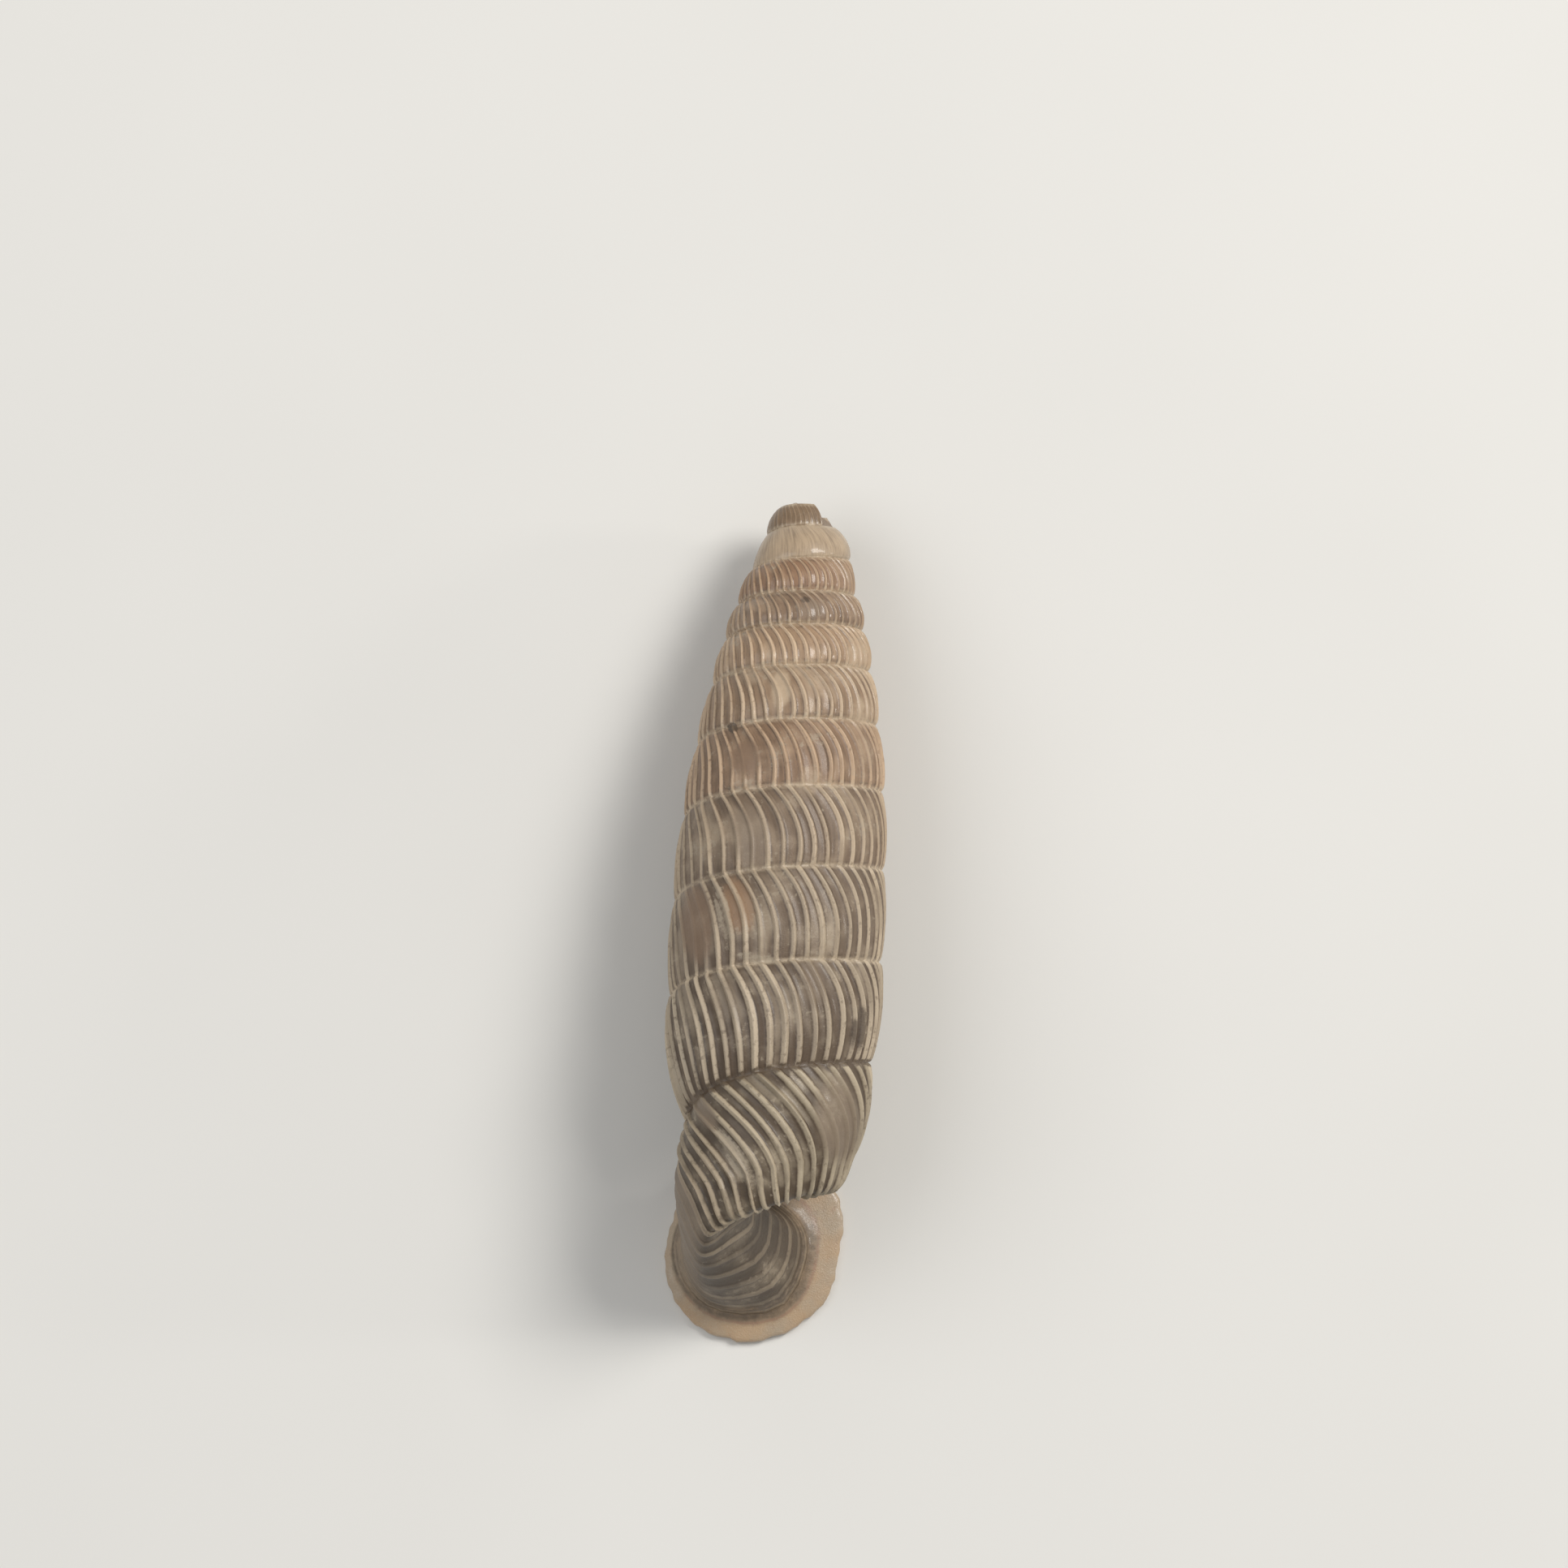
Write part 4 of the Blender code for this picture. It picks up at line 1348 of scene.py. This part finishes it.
class Paintwork:
    """Colour of the shell as it is laid on coat by coat, with what it reads from the mesh."""

    def __init__(self, finish: "ShellFinish", coil: Coil) -> None:
        """Adds the nodes that read the mesh.

        Args:
            finish: Colours and rib look to use.
            coil: Coil whose ribs and turns the colours follow.
        """
        self.finish = finish
        self.coil = coil
        self.board = Board("ribbed_shell")
        look = finish.look
        board = self.board
        self.rib, self.place = board.growth()
        mm = board.place_mm()
        self.seam = board.mark(Mark.SEAM)
        self.relief = board.mark(Mark.RELIEF)
        self.lip = board.mark(Mark.LIP)
        self.inside = board.mark(Mark.INSIDE)
        self.cloud = board.noise(mm, 1.1, 3.0, 0.55)
        self.grain = board.noise(mm, 7.0, 4.0, 0.6)
        self.fine = board.noise(mm, 26.0, 3.0, 0.6)
        along_ribs = board.vector(self.rib * 3.0, self.place * 1.2, 0.0)
        self.streak = board.noise(along_ribs, 1.0, 3.0, 0.6)
        ragged = (self.grain - 0.5) * 1.3 + (self.fine - 0.5) * 0.5
        self.ragged = ragged + (self.streak - 0.5) * 1.6
        broad_ribs = board.vector(self.rib * 0.45, self.place * 1.3, 4.0)
        self.joined = board.noise(broad_ribs, 1.0, 2.0).rise(0.52, 0.66)
        self.late = self.rib.rise(*look.late)
        self.on_neck = self.rib.rise(coil.rib_count, coil.rib_count + look.neck_span)
        beside_last = self.place.rise(0.45, 0.55) * self.place.fall(1.2, 1.3)
        self.last = (self.rib + beside_last * coil.shared_ribs).rise(*look.last_suture)
        self.read_ribs(look)
        share = (self.rib + (self.cloud - 0.5) * 10.0) * (1.0 / coil.rib_count)
        self.ridge = board.ramp(share, finish.stops(coil, True))
        self.colour = board.ramp(share, finish.stops(coil, False))

    def read_ribs(self, look: RibLook) -> None:
        """Works out where the crests of the ribs and the shadows beside them lie.

        Args:
            look: How the ribs are painted.
        """
        past = self.board.math("MAXIMUM", self.rib - THIN_START, 0.0)
        near = self.board.math("MINIMUM", past, THIN_SPAN)
        thin = self.rib - (near * near * (0.5 / THIN_SPAN) + past - near) * THIN_SHARE
        shaken = thin + (self.grain - 0.5) * look.wavering + 0.5
        luck = self.board.chance(shaken.whole())
        aside = shaken.wrapped() - 0.5
        width = look.width + look.wider_by_luck * luck + look.wider_when_late * self.late
        gap = aside.absolute() - (width - look.narrower_on_neck * self.on_neck)
        strength = look.least_strength + (1.0 - look.least_strength) * luck
        crest = gap.fall(*look.soft_edge) * strength * self.relief
        crest = crest * (1.0 - look.worn_in_patches * self.joined)
        crest = crest * (1.0 - look.worn_by_grain * self.grain.fall(0.30, 0.46))
        faded = look.faded_on_neck + look.faded_by_luck * luck.fall(0.35, 0.65)
        self.crest = crest * (1.0 - self.on_neck * faded)
        lee = (gap - look.shadow_aside).absolute().fall(0.0, look.shadow_width)
        shadow = lee * self.grain.rise(0.30, 0.60) * (0.50 + 0.30 * self.late)
        shadow = shadow * (1.0 - 0.6 * self.joined)
        self.shadow = shadow * (self.relief + (1.0 - self.relief) * self.on_neck * 0.7)

    def lay(self, share: Operand, paint: Colour) -> None:
        """Lays a paint over what is there."""
        self.colour = self.board.mixed(share, self.colour, paint)

    def lay_ribs(self) -> None:
        """Lays streaks, clouds, the shadows beside the ribs and the ribs over the furrows."""
        dark = self.finish.dirt_and_shade.paint
        self.lay(self.streak.rise(0.35, 0.75) * (0.50 + 0.35 * self.on_neck), dark)
        self.lay(self.cloud.rise(0.45, 0.7) * 0.30 + self.joined * 0.30, self.ridge)
        # Painted shadow beside each rib, in the same dark brown as the stains.
        self.lay(self.shadow, dark)
        self.lay(self.crest, self.ridge)

    def lay_sutures(self) -> None:
        """Lays a pale fringe and painted shade along the sutures, and a painted shadow line in the
        last.
        """
        edge = self.seam + (self.grain - 0.5) * 0.16 - 0.08 * self.crest
        fringe = edge.fall(0.0, 0.11) * (1.0 - self.last)
        # Painted shade in the groove just beside each suture.
        notch = (self.seam - 0.09 + (self.fine - 0.5) * 0.1).absolute().fall(0.0, 0.07)
        notch = notch * (1.0 - self.crest) * self.relief
        self.lay(notch * (0.10 + 0.40 * self.grain.rise(0.45, 0.62)), self.finish.crease_shade)
        self.lay(fringe * (0.18 + 0.55 * self.grain.rise(0.40, 0.60)), self.finish.seam_line)
        # Painted shadow along the deep last suture, where the last whorl comes free.
        self.lay(edge.fall(0.01, 0.06) * self.last * 0.85, self.finish.crease_shade)

    def lay_patch(self, patch: Patch) -> Number:
        """Lays one kind of patch.

        Args:
            patch: The kind of patch.

        Returns:
            The share by which it covers each place.
        """
        share = self.board.mark(patch.mark) + self.ragged * patch.ragged
        share = share.rise(patch.start, patch.full)
        if patch.clear_of_ribs:
            share = share * (1.0 - patch.clear_of_ribs * self.crest)
        share = share * patch.strength
        self.lay(share, patch.paint)
        return share

    def lay_patches(self) -> Number:
        """Lays worn, amber, chalky and soiled patches, painted shade and light, and dark specks.

        Returns:
            How chalky the surface is.
        """
        for patch in self.finish.patches:
            self.lay_patch(patch)
        chalky = self.lay_patch(self.finish.chalk)
        loose = (self.cloud * 0.5 + self.grain * 0.5 + self.ragged * 0.12).rise(0.57, 0.66)
        self.lay(loose * 0.45 * self.relief, self.finish.chalk.paint)
        self.lay_patch(self.finish.dirt_and_shade)
        specks = self.fine.rise(0.60, 0.74) * (1.0 - self.crest) * 0.45
        self.lay(specks * self.relief, self.finish.dirt_and_shade.paint)
        return chalky

    def lay_lip(self) -> None:
        """Colours the lip, the rosy line at its foot and the throat."""
        finish = self.finish
        tint = self.board.mixed(self.cloud.rise(0.35, 0.65), finish.lip, finish.lip_warm)
        tint = self.board.mixed(self.grain.fall(0.25, 0.45) * 0.35, tint, finish.lip_rose)
        on_lip = self.lip + (self.grain - 0.5) * 0.4 + (self.streak - 0.5) * 0.4
        self.lay(on_lip.rise(0.25, 0.9), tint)
        pearly = self.fine.rise(0.54, 0.68) * self.lip.rise(0.5, 0.9) * 0.35
        self.lay(pearly, finish.seam_line)
        rosy = (self.lip - 0.62).absolute().fall(0.0, 0.14) * self.cloud.rise(0.40, 0.60)
        self.lay(rosy * 0.5, finish.lip_rose)
        self.lay(self.inside, finish.throat)

    def set_surface(self, chalky: Number) -> None:
        """Sets the colour, the gloss and the fine relief of the shader.

        Args:
            chalky: How chalky the surface is.
        """
        rough = 0.42 + 0.18 * self.grain + 0.12 * chalky - 0.10 * self.lip + 0.10 * self.crest
        early = 0.12 + self.rib.fall(*self.finish.look.glossy_until) * 0.33
        gloss = early + self.lip * (0.10 + 0.30 * self.fine.rise(0.50, 0.60))
        growth_lines = self.streak * 0.5 + self.fine * (0.5 + 0.8 * self.lip) + self.grain * 0.8
        depth = {"Strength": 0.6, "Distance": self.finish.bump_depth, "Height": growth_lines}
        bump = self.board.node("ShaderNodeBump", {}, depth)
        sockets = self.board.shader.inputs
        self.board.feed(sockets["Base Color"], self.colour)
        self.board.feed(sockets["Roughness"], rough)
        self.board.feed(sockets["Coat Weight"], gloss * (1.0 - self.inside))
        self.board.feed(sockets["Coat Roughness"], self.finish.coat_roughness)
        self.board.feed(sockets["Normal"], bump.outputs[0])


@dataclass(frozen=True)
class ShellFinish:
    """Horny to chalky shell: cream ribs, taupe furrows, worn patches and some painted light and
    shade.
    """

    zones: tuple[Zone, ...] = (
        Zone(-0.3, Paint(124, 100, 74), Paint(156, 131, 102)),
        Zone(0.35, Paint(132, 108, 82), Paint(164, 139, 110)),
        Zone(0.55, Paint(176, 154, 127), Paint(184, 162, 134)),
        Zone(1.30, Paint(172, 148, 120), Paint(182, 158, 130)),
        Zone(1.75, Paint(146, 112, 84), Paint(176, 146, 115)),
        Zone(2.75, Paint(134, 109, 86), Paint(176, 150, 122)),
        Zone(3.75, Paint(164, 135, 106), Paint(200, 174, 144)),
        Zone(4.75, Paint(144, 118, 92), Paint(198, 175, 147)),
        Zone(5.75, Paint(136, 108, 83), Paint(194, 165, 135)),
        Zone(6.75, Paint(118, 98, 78), Paint(188, 168, 142)),
        Zone(7.75, Paint(108, 90, 72), Paint(186, 168, 143)),
        Zone(8.75, Paint(94, 77, 60), Paint(190, 173, 149)),
        Zone(9.75, Paint(84, 69, 52), Paint(192, 177, 151)),
        Zone(10.1, Paint(78, 65, 49), Paint(166, 149, 125)),
    )
    patches: tuple[Patch, ...] = (
        Patch(Mark.DULL, Paint(132, 115, 96), 0.35, 0.15, 0.95, 0.75),
        Patch(Mark.PALE_AND_LIT, Paint(196, 174, 146), 0.5, 0.3, 0.9, 0.6),
        Patch(Mark.BARE, Paint(128, 103, 81), 0.5, 0.3, 0.9, 0.7),
        Patch(Mark.AMBER, Paint(158, 122, 88), 0.6, 0.3, 1.0, 0.55, 0.8),
    )
    chalk: Patch = Patch(Mark.CHALK, Paint(168, 154, 133), 0.9, 0.35, 0.9, 0.75)
    # Dark brown of real stains, streaks and specks, also laid as painted shade in the navel and
    # below the keel.
    dirt_and_shade: Patch = Patch(Mark.GRIME_AND_SHADE, Paint(70, 55, 41), 0.5, 0.35, 0.75, 0.8)
    seam_line: Paint = Paint(196, 178, 152)
    # Painted shade in the suture grooves.
    crease_shade: Paint = Paint(88, 72, 55)
    lip: Paint = Paint(170, 152, 129)
    lip_warm: Paint = Paint(178, 151, 120)
    lip_rose: Paint = Paint(150, 112, 92)
    throat: Paint = Paint(176, 138, 108)
    look: RibLook = RibLook()
    bump_depth: float = 0.02 * MM
    coat_roughness: float = 0.13

    def make(self, coil: Coil) -> bpy.types.Material:
        """Makes the material.

        Args:
            coil: Coil whose turns the zones follow.

        Returns:
            The material.
        """
        work = Paintwork(self, coil)
        work.lay_ribs()
        work.lay_sutures()
        chalky = work.lay_patches()
        work.lay_lip()
        work.set_surface(chalky)
        return work.board.material

    def stops(self, coil: Coil, on_rib: bool) -> tuple[tuple[float, Paint], ...]:
        """Stops of the ramp along the coil, for the ribs or for the furrows.

        Args:
            coil: Coil whose turns the zones follow.
            on_rib: Whether the ribs are meant.

        Returns:
            Place and colour of each stop.
        """
        span = coil.rib_count / coil.ribs_per_turn
        found = []
        for zone in self.zones:
            place = (zone.turn - coil.first_turn) / span
            found.append((min(place, 1.0), zone.rib if on_rib else zone.furrow))
        return tuple(found)


@dataclass(frozen=True)
class FloorFinish:
    """Plain pale board with the faintest mottle."""

    light: Paint = Paint(226, 224, 219)
    dark: Paint = Paint(220, 218, 213)

    def make(self) -> bpy.types.Material:
        """Makes the material."""
        board = Board("pale_board")
        mottle = board.noise(board.place_mm(), 0.08, 2.0)
        board.feed(board.shader.inputs["Base Color"], board.mixed(mottle, self.light, self.dark))
        board.feed(board.shader.inputs["Roughness"], 0.85)
        return board.material


@dataclass(frozen=True)
class Lamp:
    """Soft square lamp: name, place and side in metres, power in watts, and tint."""

    name: str
    place: tuple[float, float, float]
    side: float
    power: float
    tint: tuple[float, float, float]


@dataclass
class Studio:
    """Floor, lights and camera."""

    lamps: tuple[Lamp, ...] = (
        Lamp("key", (0.16, 0.12, 0.22), 0.12, 0.62, (1.0, 0.98, 0.95)),
        Lamp("fill", (-0.20, 0.02, 0.24), 0.22, 0.30, (0.97, 0.98, 1.0)),
        Lamp("low side light", (0.26, 0.05, 0.085), 0.03, 0.07, (1.0, 0.97, 0.92)),
    )
    surroundings: tuple[float, float, float, float] = (0.86, 0.87, 0.88, 1.0)
    surroundings_strength: float = 0.40

    floor_size: float = 4.0
    lens: float = 300.0
    frame_width: float = 0.0375
    camera_lean: float = CAMERA_LEAN
    roll: float = 3.9
    middle_across: float = 6.0
    middle_down: float = 166.0
    image_size: float = 1932.0

    def lay_floor(self) -> bpy.types.Object:
        """Lays the floor that the shell rests on."""
        bpy.ops.object.select_all(action="DESELECT")
        bpy.ops.mesh.primitive_plane_add(size=self.floor_size)
        floor = bpy.context.object
        floor.name = "pale_floor"
        floor.data.materials.append(FloorFinish().make())
        return floor

    def hang_lamp(self, lamp: Lamp) -> None:
        """Hangs a lamp that points at the shell.

        Args:
            lamp: Lamp to hang.
        """
        data = bpy.data.lights.new(lamp.name, "AREA")
        data.size = lamp.side
        data.energy = lamp.power
        data.color = lamp.tint
        light = bpy.data.objects.new(lamp.name, data)
        light.location = lamp.place
        light.rotation_mode = "QUATERNION"
        light.rotation_quaternion = (-Vector(lamp.place)).to_track_quat("-Z", "Y")
        light.visible_camera = False
        bpy.context.scene.collection.objects.link(light)

    def set_lights(self) -> None:
        """Hangs the lamps and sets the even surroundings."""
        for lamp in self.lamps:
            self.hang_lamp(lamp)
        world = bpy.data.worlds.new("surroundings")
        world.use_nodes = True
        background = world.node_tree.nodes["Background"]
        background.inputs[0].default_value = self.surroundings
        background.inputs[1].default_value = self.surroundings_strength
        bpy.context.scene.world = world
        bpy.context.scene.view_settings.view_transform = "Standard"

    def set_camera(self) -> None:
        """Sets the camera above the shell, at the photograph's angle."""
        data = bpy.data.cameras.new("camera")
        data.lens = self.lens
        distance = self.frame_width * data.lens / data.sensor_width
        data.shift_x = self.middle_across / self.image_size
        data.shift_y = self.middle_down / self.image_size
        data.clip_start = distance * 0.05
        data.clip_end = distance * 40
        camera = bpy.data.objects.new("camera", data)
        lean = math.radians(self.camera_lean)
        looking = Vector((0.0, math.sin(lean), -math.cos(lean)))
        low, high = (Vector(corner) for corner in CAD_BOX)
        camera.location = 0.5 * (low + high) - looking * distance
        camera.rotation_mode = "QUATERNION"
        facing = looking.to_track_quat("-Z", "Y")
        camera.rotation_quaternion = facing @ Quaternion((0, 0, 1), math.radians(self.roll))
        bpy.context.scene.collection.objects.link(camera)
        bpy.context.scene.camera = camera


def main() -> None:
    """Builds the shell, dresses it and sets it in the studio."""
    shell = Shell()
    piece = shell.build()
    piece.data.materials.append(ShellFinish().make(shell.coil))
    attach(piece, "root")
    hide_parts("shell")
    log.info("%s: %d faces", piece.name, len(piece.data.polygons))
    studio = Studio()
    floor = studio.lay_floor()
    log.info("%s: laid", floor.name)
    studio.set_lights()
    studio.set_camera()


if __name__ == "__main__":
    main()
